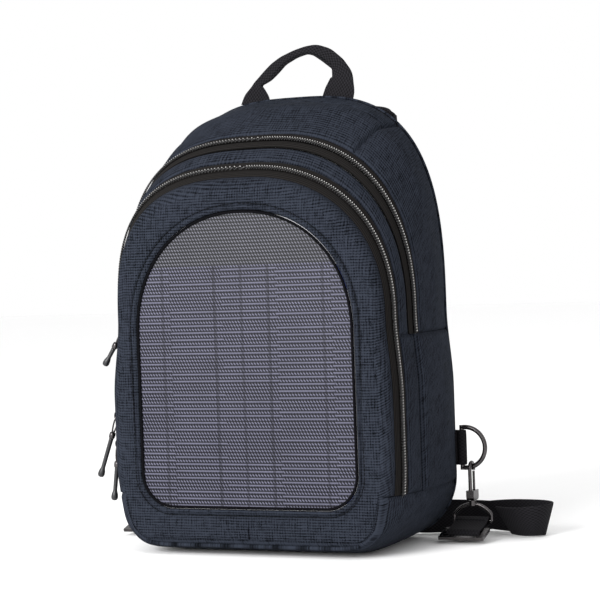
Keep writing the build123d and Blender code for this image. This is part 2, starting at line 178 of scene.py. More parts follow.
def half_line(y):
    """Outline at depth y from the top centre down to the bottom centre, as (x right, height, x left) and the run.
    Arch x = half (1 - h^p)^(1/p) with h the height over the spring, then a side, a round corner and the base."""
    right, left, top, bottom, corner, power, power_left, foot = (np.interp(y, _fine,
                                                                           FORM_FINE[:, k]) for k in range(8))
    a = np.linspace(0, np.pi / 2, 160)
    height = np.cos(a) ** (2 / power)
    arch = np.stack([right * np.sin(a) ** (2 / power), SPRING + (top - SPRING) * height,
                     left * (1 - np.minimum(height, 1) ** power_left) ** (1 / power_left)], 1)
    side_z = np.linspace(SPRING, bottom + corner, 40)[1:]
    b = np.linspace(0, np.pi / 2, 24)[1:]
    knee = np.stack([corner - corner * np.cos(b), bottom + corner - corner * np.sin(b)], 1)
    low_z = np.concatenate([side_z, knee[:, 1]])
    inward = np.concatenate([side_z * 0, knee[:, 0]])
    # below the spring the right side swells 3.5 mm, and on the left the front edge alone swells 5.2 mm, so that the
    # zips there run straight; then the edge draws in to its foot
    down = np.clip((SPRING - low_z) / 0.055, 0, 1)
    swell = down * down * (3 - 2 * down)
    lip = min(max((-0.0440 - y) / 0.008, 0), 1)
    lip = 0.0052 * lip * lip * (3 - 2 * lip)
    taper = foot * np.clip((0.062 - low_z) / 0.050, 0, 1) ** 1.5
    lower = np.stack([right + 0.0035 * swell - taper - inward, low_z, left + lip * swell - taper - inward], 1)
    end = lower[-1]
    base = np.stack([np.linspace(end[0], 0, 30)[1:], np.full(29, bottom), np.linspace(end[2], 0, 30)[1:]], 1)
    line = np.concatenate([arch, lower, base])
    run = np.concatenate([[0], np.cumsum(np.hypot(*np.diff(line[:, :2], axis=0).T))])
    return line, run


def run_at_height(y, z):
    """Run from the top centre to the height z on the side."""
    line, run = half_line(y)
    stop = len(line) - 29
    return float(np.interp(-z, -line[:stop, 1], run[:stop]))


def on_form(y, runs, out):
    """Points of the form at depth y, at signed runs from the top centre (right positive), moved outwards."""
    line, run = half_line(y)
    length = run[-1]
    runs = np.where(runs > length, runs - 2 * length, runs)
    r = np.abs(runs)
    step = 0.0015

    def spot(r):
        """Half width and height at a run, on the side that the sign of runs gives."""
        return np.where(runs < 0, np.interp(r, run, line[:, 2]),
                        np.interp(r, run, line[:, 0])), np.interp(r, run, line[:, 1])
    x, z = spot(r)
    ahead_x, ahead_z = spot(np.clip(r + step, 0, length))
    behind_x, behind_z = spot(np.clip(r - step, 0, length))
    tx, tz = ahead_x - behind_x, ahead_z - behind_z
    # at the two centre points the outline runs level, so the outward direction is straight up or down
    tz = np.where((r < step) | (r > length - step), 0.0, tz)
    size = np.hypot(tx, tz) + 1e-12
    nx, nz = -tz / size, tx / size
    sign = np.where(runs < 0, -1.0, 1.0)
    return np.stack([sign * (x + out * nx), np.full_like(x, y), z + out * nz], -1)


def ripple(points, seed, size=0.05):
    """Slow unevenness of cloth, between -1 and 1: five crossed waves about one size long."""
    rng = np.random.default_rng(seed)
    total = np.zeros(points.shape[:-1])
    for _ in range(5):
        way = rng.normal(size=3)
        way /= np.linalg.norm(way) * size * rng.uniform(0.6, 1.6)
        total += np.sin(2 * np.pi * (points @ way) + rng.uniform(0, 6.3))
    return total / 5


def seam_dip(distance, depth=0.0018, width=0.0018):
    """How far cloth is drawn in at a given distance from a seam."""
    return -depth * np.exp(-(distance / width) ** 2)


def eased(start, end, count, edge=0.35):
    """Values from start to end, closer together near both ends."""
    t = np.linspace(0, 1, count)
    return start + (end - start) * (t - edge * np.sin(2 * np.pi * t) / (2 * np.pi) * 1.8)


def closed_shell(name, outer, inner, material, uv, wrap=False):
    """Closed piece between an outer and an inner grid; with wrap it runs round into itself."""
    rows, columns = outer.shape[:2]
    ring = np.concatenate([outer, inner[::-1]])
    uv = np.concatenate([uv, uv[::-1]])
    faces = [grid_faces(2 * rows, columns, wrap_rows=True, wrap_columns=wrap)]
    if not wrap:
        ends = np.arange(2 * rows) * columns
        faces += [[ends.tolist()], [(ends + columns - 1)[::-1].tolist()]]
    return mesh(name, ring, faces, material, uv)


def panel(name, near, far, start, end, material, columns=160, rows=28, thick=0.0022, seed=1,
          bulge=0.001, dip=0.0018, proud=0.0, rough=0.0007, crease=None):
    """Patch of the bag's form between two depths and two runs (functions of depth), as one closed piece.
    The outside swells by bulge in the middle and dips along the edges, and along a crease at one depth."""
    ys = eased(near, far, rows)
    t = eased(0, 1, columns)
    outer, inner, uv = [], [], []
    for y in ys:
        a, b = start(y), end(y)
        runs = a + (b - a) * t
        across = min(y - near, far - y)
        along = np.minimum(runs - a, b - runs)
        edge = np.minimum(across, along)
        swell = bulge * (1 - np.exp(-np.clip(edge, 0, None) / 0.012))
        base = on_form(y, runs, np.zeros_like(runs))
        out = proud + swell + seam_dip(edge, dip) + rough * ripple(base, seed,
                                                                   0.045) * (1 - np.exp(-edge / 0.01))
        if crease is not None:
            line = crease + 0.004 * np.cos(runs * 22)
            out = out - 0.0011 * np.exp(-((y - line) / 0.0011) ** 2) - 0.0006 * (y > line) * np.exp(-(y - line) / 0.006)
        outer.append(on_form(y, runs, out))
        inner.append(on_form(y, runs, out * 0 - thick))
        uv.append(np.stack([runs, np.full_like(runs, y)], -1))
    return closed_shell(name, np.array(outer), np.array(inner), material, np.array(uv))


def heather(name, dark, light):
    """Navy cationic polyester: two tones of yarn, plain weave, so the eye sees a fine broken grid of
    darker and lighter threads with short slubs along both directions, and almost no shine."""
    material, tree, shader = surface(name, Roughness=0.9, Specular_IOR_Level=0.03)
    place = node(tree, "ShaderNodeUVMap", uv_map="cloth").outputs["UV"]
    tones = []
    # thread width 0.8 mm, slub length 9 mm, once along each direction
    for scale in ((1250, 110, 1), (110, 1250, 1)):
        stretched = node(tree, "ShaderNodeVectorMath", {1: scale}, {0: place}, operation="MULTIPLY")
        tones.append(node(tree, "ShaderNodeTexNoise", {"Scale": 1.0, "Detail": 1.5, "Roughness": 0.6},
                          {"Vector": stretched.outputs[0]}).outputs["Fac"])
    # plain weave: which of the two threads lies on top, pitch 1.1 mm
    weave = node(tree, "ShaderNodeVectorMath", {1: (910, 910, 1)}, {0: place}, operation="MULTIPLY")
    over = node(tree, "ShaderNodeTexChecker", {"Scale": 1.0}, {"Vector": weave.outputs[0]})
    thread = node(tree, "ShaderNodeMix", {}, {0: over.outputs["Fac"], 2: tones[0], 3: tones[1]},
                  data_type="FLOAT")
    # large soft patches where the dye took more or less
    patch = node(tree, "ShaderNodeVectorMath", {1: (22, 22, 1)}, {0: place}, operation="MULTIPLY")
    cloud = node(tree, "ShaderNodeTexNoise", {"Scale": 1.0, "Detail": 2.0}, {"Vector": patch.outputs[0]})
    lift = node(tree, "ShaderNodeMath", {1: 0.25}, {0: cloud.outputs["Fac"]}, operation="MULTIPLY")
    total = node(tree, "ShaderNodeMath", {}, {0: thread.outputs[0], 1: lift.outputs[0]}, operation="ADD")
    # every second weft is thicker and paler: broken light lines 1.9 mm apart along the cloth, fainter ones across
    for direction, amount in (("Y", 0.30), ("X", 0.14)):
        lines = node(tree, "ShaderNodeTexWave",
                     {"Scale": 165.0, "Distortion": 0.6, "Detail": 1.0, "Detail Scale": 0.4},
                     {"Vector": place}, bands_direction=direction)
        broken = node(tree, "ShaderNodeMath", {},
                      {0: lines.outputs["Fac"], 1: tones[0 if direction == "Y" else 1]},
                      operation="MULTIPLY")
        total = node(tree, "ShaderNodeMath", {1: amount * 2}, {0: broken.outputs[0], 2: total.outputs[0]},
                     operation="MULTIPLY_ADD")
    tone = node(tree, "ShaderNodeValToRGB", {}, {"Fac": total.outputs[0]})
    tone.color_ramp.elements[0].position, tone.color_ramp.elements[1].position = 0.55, 1.0
    tone.color_ramp.elements[0].color, tone.color_ramp.elements[1].color = linear(dark), linear(light)
    tree.links.new(tone.outputs["Color"], shader.inputs["Base Color"])
    bump = node(tree, "ShaderNodeBump", {"Strength": 0.35, "Distance": 0.0005}, {"Height": thread.outputs[0]})
    tree.links.new(bump.outputs["Normal"], shader.inputs["Normal"])
    return material


navy = heather("navy_heather_polyester", "#040507", "#2a2e37")
BOAT, CROSS = 0.042, 0.150
MAIN_ZIP, FRONT_ZIP, HALF_ZIP = -0.017, -0.044, 0.0065
WALL_END = 0.0472


def run_bottom(y):
    """Run from the top centre to the bottom centre at depth y: half the outline's length."""
    return half_line(y)[1][-1]


# bottom panel, turned up at the sides, rolled over the front edge up to the hem seam of the front panel
ROLL = 0.0050
depths = np.concatenate([-0.0596 + ROLL * (1 - np.cos(np.linspace(0.05, 1, 12) * np.pi / 2)),
                         np.linspace(-0.0535, WALL_END, 40)])
pull = np.concatenate([-ROLL * (1 - np.sin(np.linspace(0.05, 1, 12) * np.pi / 2)), np.zeros(40)])
outer, inner, cloth_uv = [], [], []
for y, rolled in zip(depths, pull):
    a, b = run_at_height(y, BOAT), 2 * run_bottom(y) - run_at_height(y, BOAT)
    runs = a + (b - a) * eased(0, 1, 240)
    edge = np.minimum(np.minimum(runs - a, b - runs), WALL_END - y)
    base = on_form(y, runs, np.zeros(240))
    out = rolled + seam_dip(edge, 0.0012) + 0.0005 * ripple(base, 3, 0.045) * (1 - np.exp(-edge / 0.01))
    outer.append(on_form(y, runs, out))
    inner.append(on_form(y, runs, out - 0.0020))
    cloth_uv.append(np.stack([runs, np.full(240, y - rolled)], -1))
bottom = closed_shell("bottom_fabric", np.array(outer), np.array(inner), navy, np.array(cloth_uv))
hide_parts("bottom_panel")


def yoke_run(y):
    """Run from the top centre to the yoke seam, which spreads from 67 mm out at the zip to 80 mm at the back."""
    line, run = half_line(y)
    x = 0.067 + 0.0135 * (y + 0.0102) / 0.0582
    return float(np.interp(x, line[:159, 0], run[:159]))


yoke = panel("yoke_fabric", -0.0102, WALL_END, lambda y: -yoke_run(y), yoke_run, navy, columns=170, rows=70,
             seed=5, bulge=0.0016, rough=0.0011, crease=0.029)
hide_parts("yoke")
shell_pieces = [bottom, yoke]
for side, word in ((1, "right"), (-1, "left")):
    spans = {"upper_side": (-0.0102, yoke_run, lambda y: run_at_height(y, CROSS), 0.0, 0.0012, 0.0010),
             "lower_side": (-0.0167, lambda y: run_at_height(y, CROSS), lambda y: run_at_height(y, BOAT),
                            0.0009,
                            0.0016, 0.0009)}
    for part, (near, high, low, proud, bulge, rough) in spans.items():
        ends = (high, low) if side > 0 else (lambda y, f=low: -f(y), lambda y, f=high: -f(y))
        piece = panel(part + "_fabric_" + word, near, WALL_END, *ends, navy, columns=110, rows=34,
                      seed=11 + side + len(part), bulge=bulge, proud=proud, rough=rough)
        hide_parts(part + "_" + word)
        shell_pieces.append(piece)
for piece in shell_pieces:
    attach(piece, "bag")

# ---------------------------------------------------------------------------
# Front section: the gusset between the two zips and its lower parts below the
# outer zip's ends, with a lining wall behind the front pocket.
# ---------------------------------------------------------------------------
def cross_run(y):
    """Run from the top centre to the cross seam, 150 mm up the side, at depth y."""
    return run_at_height(y, CROSS)


def boat_run(y):
    """Run from the top centre to the seam of the bottom panel, 42 mm up the side, at depth y."""
    return run_at_height(y, BOAT)


gusset = panel("middle_gusset_fabric", -0.0372, -0.0238, lambda y: -cross_run(y), cross_run, navy, columns=300,
               rows=16, seed=21, bulge=0.0008, rough=0.0007)
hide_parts("middle_gusset")
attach(gusset, "front_section")
for side, word in ((1, "right"), (-1, "left")):
    ends = (cross_run, boat_run) if side > 0 else (lambda y: -boat_run(y), lambda y: -cross_run(y))
    piece = panel("lower_gusset_fabric_" + word, -0.0372, -0.0173, *ends, navy, columns=90, rows=20,
                  seed=23 + side, bulge=0.0010, rough=0.0006)
    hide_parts("lower_gusset_" + word)
    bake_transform(piece)

lining, tree, shader = surface("polyester_lining", Base_Color=linear("#2c2c30"), Roughness=0.7,
                               Sheen_Weight=0.2)
object_place = node(tree, "ShaderNodeTexCoord").outputs["Object"]
# taffeta lining: ribs 0.6 mm apart give a faint silky line
ribs = node(tree, "ShaderNodeTexWave", {"Scale": 260.0, "Distortion": 0.4}, {"Vector": object_place},
            bands_direction="Z")
tree.links.new(node(tree, "ShaderNodeBump", {"Strength": 0.2, "Distance": 0.0003},
                    {"Height": ribs.outputs["Fac"]}).outputs["Normal"], shader.inputs["Normal"])


def whole_round(y, count):
    """Signed runs once round the outline at depth y, from the top centre down the right and up the left."""
    end = run_bottom(y)
    around = np.linspace(0, 2 * end, count, endpoint=False)
    return np.where(around > end, around - 2 * end, around)


# wall behind the front pocket: the outline drawn in towards its middle, ring by ring, cut level above the hinge seam
rim = on_form(-0.0400, whole_round(-0.0400, 360), np.full(360, -0.0017))
rim[:, 2] = np.maximum(rim[:, 2], 0.0140)
middle = np.array([0, -0.0400, 0.150])
disc = middle + (rim - middle) * np.linspace(0.002, 1, 12)[:, None, None]
wall = mesh("pocket_lining_wall", np.concatenate([disc - [0, 0.0008, 0], disc[::-1] + [0, 0.0007, 0]]),
            [grid_faces(24, 360, wrap_columns=True)[:, ::-1], [list(range(360))],
             [list(range(23 * 360, 24 * 360))[::-1]]], lining)
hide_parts("divider_panel")
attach(wall, "front_section")

# ---------------------------------------------------------------------------
# Zips: woven black tape with a nylon coil along each edge. The coil is one
# bent filament, so each half is a row of small glossy loops 1.9 mm apart.
# ---------------------------------------------------------------------------
tape_cloth, tree, shader = surface("woven_zip_tape", Roughness=0.85, Specular_IOR_Level=0.06)
place = node(tree, "ShaderNodeUVMap", uv_map="cloth").outputs["UV"]
# knitted ribs run along the tape 0.7 mm apart, and give fine light lines beside the coil
fine = node(tree, "ShaderNodeVectorMath", {1: (900, 1430, 1)}, {0: place}, operation="MULTIPLY")
ribs = node(tree, "ShaderNodeTexWave", {"Scale": 0.16, "Distortion": 1.0, "Detail": 1.0},
            {"Vector": fine.outputs[0]},
            bands_direction="Y")
shade = node(tree, "ShaderNodeValToRGB", {}, {"Fac": ribs.outputs["Fac"]})
shade.color_ramp.elements[0].color, shade.color_ramp.elements[1].color = linear("#0c0b0b"), linear("#211f1e")
tree.links.new(shade.outputs["Color"], shader.inputs["Base Color"])
tree.links.new(node(tree, "ShaderNodeBump", {"Strength": 0.3, "Distance": 0.0003},
                    {"Height": ribs.outputs["Fac"]}).outputs["Normal"], shader.inputs["Normal"])

nylon, tree, shader = surface("nylon_coil", Roughness=0.28)
object_place = node(tree, "ShaderNodeTexCoord").outputs["Object"]
# worn filament: roughness wanders over a few millimetres so the glints differ
wander = node(tree, "ShaderNodeTexNoise", {"Scale": 260.0, "Detail": 1.0}, {"Vector": object_place})
tree.links.new(node(tree, "ShaderNodeMapRange", {"To Min": 0.2, "To Max": 0.42},
                    {"Value": wander.outputs["Fac"]}).outputs["Result"], shader.inputs["Roughness"])
# black filament with a painted highlight: light grey painted on the crest of each loop as its glint, a row of fine
# dots.
# U is the place in the turn, 0.25 at the crest, and V is how strong the painted highlight is on that half
turn = node(tree, "ShaderNodeSeparateXYZ", {},
            {"Vector": node(tree, "ShaderNodeUVMap", uv_map="cloth").outputs["UV"]})
crest = node(tree, "ShaderNodeMath", {1: 0.25}, {0: turn.outputs["X"]}, operation="SUBTRACT")
crest = node(tree, "ShaderNodeMath", {}, {0: crest.outputs[0]}, operation="ABSOLUTE")
crest = node(tree, "ShaderNodeMath", {1: 0.06}, {0: crest.outputs[0]}, operation="LESS_THAN")
crest = node(tree, "ShaderNodeMath", {}, {0: crest.outputs[0], 1: turn.outputs["Y"]}, operation="MULTIPLY")
painted_crest_highlight = node(tree, "ShaderNodeMix", {}, {0: crest.outputs[0]}, data_type="RGBA")
painted_crest_highlight.inputs[6].default_value, painted_crest_highlight.inputs[7].default_value = linear("#121112"), linear("#c4c2c0")
tree.links.new(painted_crest_highlight.outputs[2], shader.inputs["Base Color"])


def tube(name, paths, radius, material, sides=8, closed=False, flat=None, uv=None):
    """Round bar along one or more paths, with capped ends. radius is one number or one per point;
    flat gives a second radius for an oval bar, and its direction."""
    points, faces, first = [], [], 0
    for path in paths:
        path = np.asarray(path, float)
        count = len(path)
        ahead = np.roll(path, -1, 0) - np.roll(path, 1, 0)
        if not closed:
            ahead[0], ahead[-1] = path[1] - path[0], path[-1] - path[-2]
        ahead /= np.linalg.norm(ahead, axis=1, keepdims=True)
        if flat is None:
            guide = np.tile(np.array([0.31, 0.52, 0.79]), (count, 1))
        else:
            guide = np.broadcast_to(np.asarray(flat[1], float), (count, 3))
        across = np.cross(ahead, guide)
        across /= np.linalg.norm(across, axis=1, keepdims=True)
        other = np.cross(across, ahead)
        a = np.linspace(0, 2 * np.pi, sides, endpoint=False)
        r1 = np.broadcast_to(np.asarray(radius, float), (count,))[:, None, None]
        r2 = r1 if flat is None else np.broadcast_to(np.asarray(flat[0], float), (count,))[:, None, None]
        ring = path[:, None] + r1 * np.cos(a)[None, :, None] * across[:, None] + r2 * np.sin(a)[None, :,
                                                                                                None] * other[:, None]
        points.append(ring.reshape(-1, 3))
        faces.append(grid_faces(count, sides, wrap_rows=closed, wrap_columns=True, first=first))
        if not closed:
            faces += [[(first + np.arange(sides))[::-1].tolist()],
                      [(first + (count - 1) * sides + np.arange(sides)).tolist()]]
        first += count * sides
    return mesh(name, np.concatenate(points), faces, material,
                np.zeros((first, 2)) if uv is None else np.repeat(uv, sides, 0))


def coil(name, zip_y, side, limit, material, pitch=0.0019):
    """Half of a zip's coil: a filament wound in flat loops along the zip line, on one side of it."""
    end = limit(zip_y)
    turns = int(2 * end / pitch)
    t = np.arange(turns * 12 + 1) / 12
    runs = -end + t * pitch + (pitch / 2 if side > 0 else 0)
    a = 2 * np.pi * t
    # loops 1.6 mm wide reach just over the centre line, and stand 1 mm high
    width = side * (0.00055 + 0.00080 * np.cos(a))
    height = 0.0008 + 0.0006 * np.sin(a)
    low, mid, high = (on_form(zip_y + shift, runs, height) for shift in (-0.003, 0.0, 0.003))
    path = mid + (high - low) * (width / 0.006)[:, None]
    # painted highlight: V sets how bright the painted crest glint is, full on the rear half and a quarter on the front
    # half
    return tube(name, [path], 0.00030, material, sides=5,
                uv=np.stack([t % 1, np.full_like(t, 1.0 if side > 0 else 0.25)], -1))


for word, zip_y, limit, bodies in (("main", MAIN_ZIP, cross_run, ("front_section", "bag")),
                                   ("front", FRONT_ZIP, lambda y: run_at_height(y, 0.0425),
                                    ("front_flap", "front_section"))):
    for side, part, body in ((-1, "front", bodies[0]), (1, "rear", bodies[1])):
        near, far = (zip_y - HALF_ZIP, zip_y - 0.0006) if side < 0 else (zip_y + 0.0006, zip_y + HALF_ZIP)
        tape = panel(f"{word}_zip_tape_{part}_cloth", near, far, lambda y, f=limit: -f(y), limit, tape_cloth,
                     columns=300, rows=10, thick=0.0016, seed=31, bulge=0.0, dip=0.0003, proud=-0.0004,
                     rough=0.0003)
        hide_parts(f"{word}_zip_tape_{part}")
        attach(tape, body)
        loops = coil(f"{word}_zip_coil_{part}_loops", zip_y, side, limit, nylon)
        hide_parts(f"{word}_zip_coil_{part}")
        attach(loops, body)

# ---------------------------------------------------------------------------
# Front panel: heather fabric over thin foam, cut out round the solar window,
# its outer edge rolled back to the front pocket zip, its hem turned under.
# ---------------------------------------------------------------------------
WINDOW = (0.0815, 0.2385, 0.0330, 0.024, 2.12, 0.155)


def window_line(inset, count):
    """Closed outline of the solar window pulled in by the inset: count points, from the top centre."""
    half, top, bottom, corner, power, spring = WINDOW
    half, top, bottom, corner = half - inset, top - inset, bottom + inset, corner - inset
    a = np.linspace(0, np.pi / 2, 200)
    arch = np.stack([half * np.sin(a) ** (2 / power), spring + (top - spring) * np.cos(a) ** (2 / power)], 1)
    b = np.linspace(0, np.pi / 2, 24)
    knee = np.stack([half - corner + corner * np.cos(b), bottom + corner - corner * np.sin(b)], 1)
    right_half = np.concatenate([arch, knee, [[0, bottom]]])
    loop = np.concatenate([right_half, (right_half * [-1, 1])[-2:0:-1], right_half[:1]])
    run = np.concatenate([[0], np.cumsum(np.hypot(*np.diff(loop, axis=0).T))])
    t = np.linspace(0, run[-1], count, endpoint=False)
    return np.stack([np.interp(t, run, loop[:, 0]), np.interp(t, run, loop[:, 1])], 1)


ROUND = 720
face_runs = whole_round(-0.058, ROUND)
inner_loop = window_line(-0.0005, ROUND)
outer_loop = on_form(-0.0598, face_runs, np.full(ROUND, -0.0052))[:, [0, 2]]
outside, inside, cloth_uv = [], [], []
gap = np.hypot(*(outer_loop - inner_loop).T)
for t in eased(0, 1, 44, 0.3):
    flat = inner_loop + (outer_loop - inner_loop) * t
    # soft swell between window and edge, a stitched groove 4 mm outside the window
    swell = 0.0013 * np.sin(np.pi * t) ** 0.8 - 0.0010 * np.exp(-((t * gap - 0.0042) / 0.0009) ** 2)
    swell = swell + 0.0009 * np.exp(-((t * gap - 0.0018) / 0.0014) ** 2)
    point = np.stack([flat[:, 0], np.full(ROUND, -0.0600), flat[:, 1]], -1)
    swell = swell + 0.0009 * ripple(point, 41, 0.06) * np.sin(np.pi * t)
    point[:, 1] -= swell
    outside.append(point)
    inside.append(point * [1, 0, 1] + [0, -0.0582, 0])
    cloth_uv.append(flat)
away = (outer_loop - inner_loop) / gap[:, None]


def same_place(y, base_y, runs):
    """Runs at depth y that lie at the heights of the given runs at base_y: the part above the foot of the front
    zip and the part below it are each stretched to fit."""
    foot_base, foot = run_at_height(base_y, 0.0435), run_at_height(y, 0.0435)
    end_base, end = half_line(base_y)[1][-1], half_line(y)[1][-1]
    r = np.abs(runs)
    return np.sign(runs) * np.where(r < foot_base, r * foot / foot_base,
                                    foot + (r - foot_base) * (end - foot) / (end_base - foot_base))


# beside the zip the edge turns over a 5 mm radius and runs back to the tape; below the zip it is only a short hem
low = np.clip((0.0437 - outer_loop[:, 1]) / 0.0012, 0, 1)[:, None]
for k in range(1, 19):
    turn = min(k / 11, 1) * np.pi / 2
    back_y = -0.0600 + 0.0052 * (1 - math.cos(turn)) + max(k - 11, 0) / 7 * 0.0040
    rolled = -0.0052 * (1 - math.sin(turn))
    side_point = on_form(back_y, same_place(back_y, -0.0598, face_runs),
                         rolled + seam_dip(np.full(ROUND, (18 - k) * 0.0006), 0.0010, 0.002))
    hem_point = np.stack([outer_loop[:, 0], np.full(ROUND, -0.0600 + 0.0014 * k / 18), outer_loop[:, 1]], -1)
    outside.append(side_point * (1 - low) + hem_point * low)
    wall = on_form(max(back_y, -0.0582), same_place(back_y, -0.0598, face_runs),
                   np.full(ROUND, rolled - 0.0022))
    inside.append(wall * (1 - low) + (hem_point * [1, 0, 1] + [0, -0.0583, 0]) * low)
    cloth_uv.append(outer_loop + away * (0.0006 * k))
face = closed_shell("front_panel_fabric", np.array(outside), np.array(inside), navy, np.array(cloth_uv),
                    wrap=True)
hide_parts("front_panel")
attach(face, "front_flap")

# hem of the window: the fabric turned under, coloured near black as a painted shadow line round the film
hem_shadow_cloth, tree, shader = surface("turned_hem_painted_shadow", Base_Color=linear("#08080b"), Roughness=0.9,
                                  Specular_IOR_Level=0.05)
object_place = node(tree, "ShaderNodeTexCoord").outputs["Object"]
# thread crossings 0.8 mm apart break the dark edge very slightly
grain = node(tree, "ShaderNodeTexNoise", {"Scale": 1200.0, "Detail": 1.0}, {"Vector": object_place})
tree.links.new(node(tree, "ShaderNodeBump", {"Strength": 0.3, "Distance": 0.0003},
                    {"Height": grain.outputs["Fac"]}).outputs["Normal"], shader.inputs["Normal"])
hem_line = window_line(0.0009, 480)
hem = tube("window_shadow_hem", [np.stack([hem_line[:, 0], np.full(480, -0.0603), hem_line[:, 1]], -1)], 0.0010,
           hem_shadow_cloth,
           closed=True)
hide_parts("window_binding")
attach(hem, "front_flap")

# stitching: one thread sunk in the groove round the window, stitches 3 mm long
thread, tree, shader = surface("sewing_thread", Base_Color=linear("#080a0d"), Roughness=0.7,
                               Specular_IOR_Level=0.1)
object_place = node(tree, "ShaderNodeTexCoord").outputs["Object"]
# two-ply twist, 0.4 mm long
ply = node(tree, "ShaderNodeTexWave", {"Scale": 400.0}, {"Vector": object_place}, bands_direction="DIAGONAL")
tree.links.new(node(tree, "ShaderNodeBump", {"Strength": 0.4, "Distance": 0.0001},
                    {"Height": ply.outputs["Fac"]}).outputs["Normal"], shader.inputs["Normal"])


def stitches(name, line, outward, body, length=0.0030, gap=0.0008, radius=0.00028):
    """Row of stitches along a closed or open line; outward lifts the middle of each stitch."""
    line, outward = np.asarray(line), np.asarray(outward)
    run = np.concatenate([[0], np.cumsum(np.linalg.norm(np.diff(line, axis=0), axis=1))])
    paths = []
    for start in np.arange(0, run[-1] - length, length):
        t = np.linspace(start + gap / 2, start + length - gap / 2, 5)
        point = np.stack([np.interp(t, run, line[:, k]) for k in range(3)], -1)
        lift = np.stack([np.interp(t, run, outward[:, k]) for k in range(3)], -1)
        paths.append(point + lift * (np.sin(np.linspace(0, np.pi, 5)) * 0.00035 - 0.0001)[:, None])
    row = tube(name, paths, radius, thread, sides=5)
    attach(row, body)
    return row


stitch_line = window_line(-0.0047, 900)
stitches("window_stitching", np.stack([stitch_line[:, 0], np.full(900, -0.0607), stitch_line[:, 1]], -1),
         np.tile([0, -1.0, 0], (900, 1)), "front_flap")

# bottom seam: narrow piping of the same cloth, sewn between front and bottom panel
pipe_x = np.linspace(-0.080, 0.080, 60)
piping = tube("front_seam_piping_cord",
              [np.stack([pipe_x, np.full(60, -0.0592),
                         0.0072 + 6.0 * np.clip(np.abs(pipe_x) - 0.062, 0, 1) ** 2], -1)],
              0.0014, navy, sides=10, uv=np.stack([pipe_x, pipe_x * 0.1], -1))
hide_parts("front_seam_piping")
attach(piping, "bag")

# ---------------------------------------------------------------------------
# Solar module: polycrystalline cells in two columns under an embossed clear
# film, laminated to a pale backing sheet and framed by the front panel.
# ---------------------------------------------------------------------------
film, tree, shader = surface("embossed_solar_film", Roughness=0.42, Specular_IOR_Level=0.14)
split = node(tree, "ShaderNodeSeparateXYZ", {}, {"Vector": node(tree, "ShaderNodeTexCoord").outputs["Object"]})
x, z = split.outputs["X"], split.outputs["Z"]
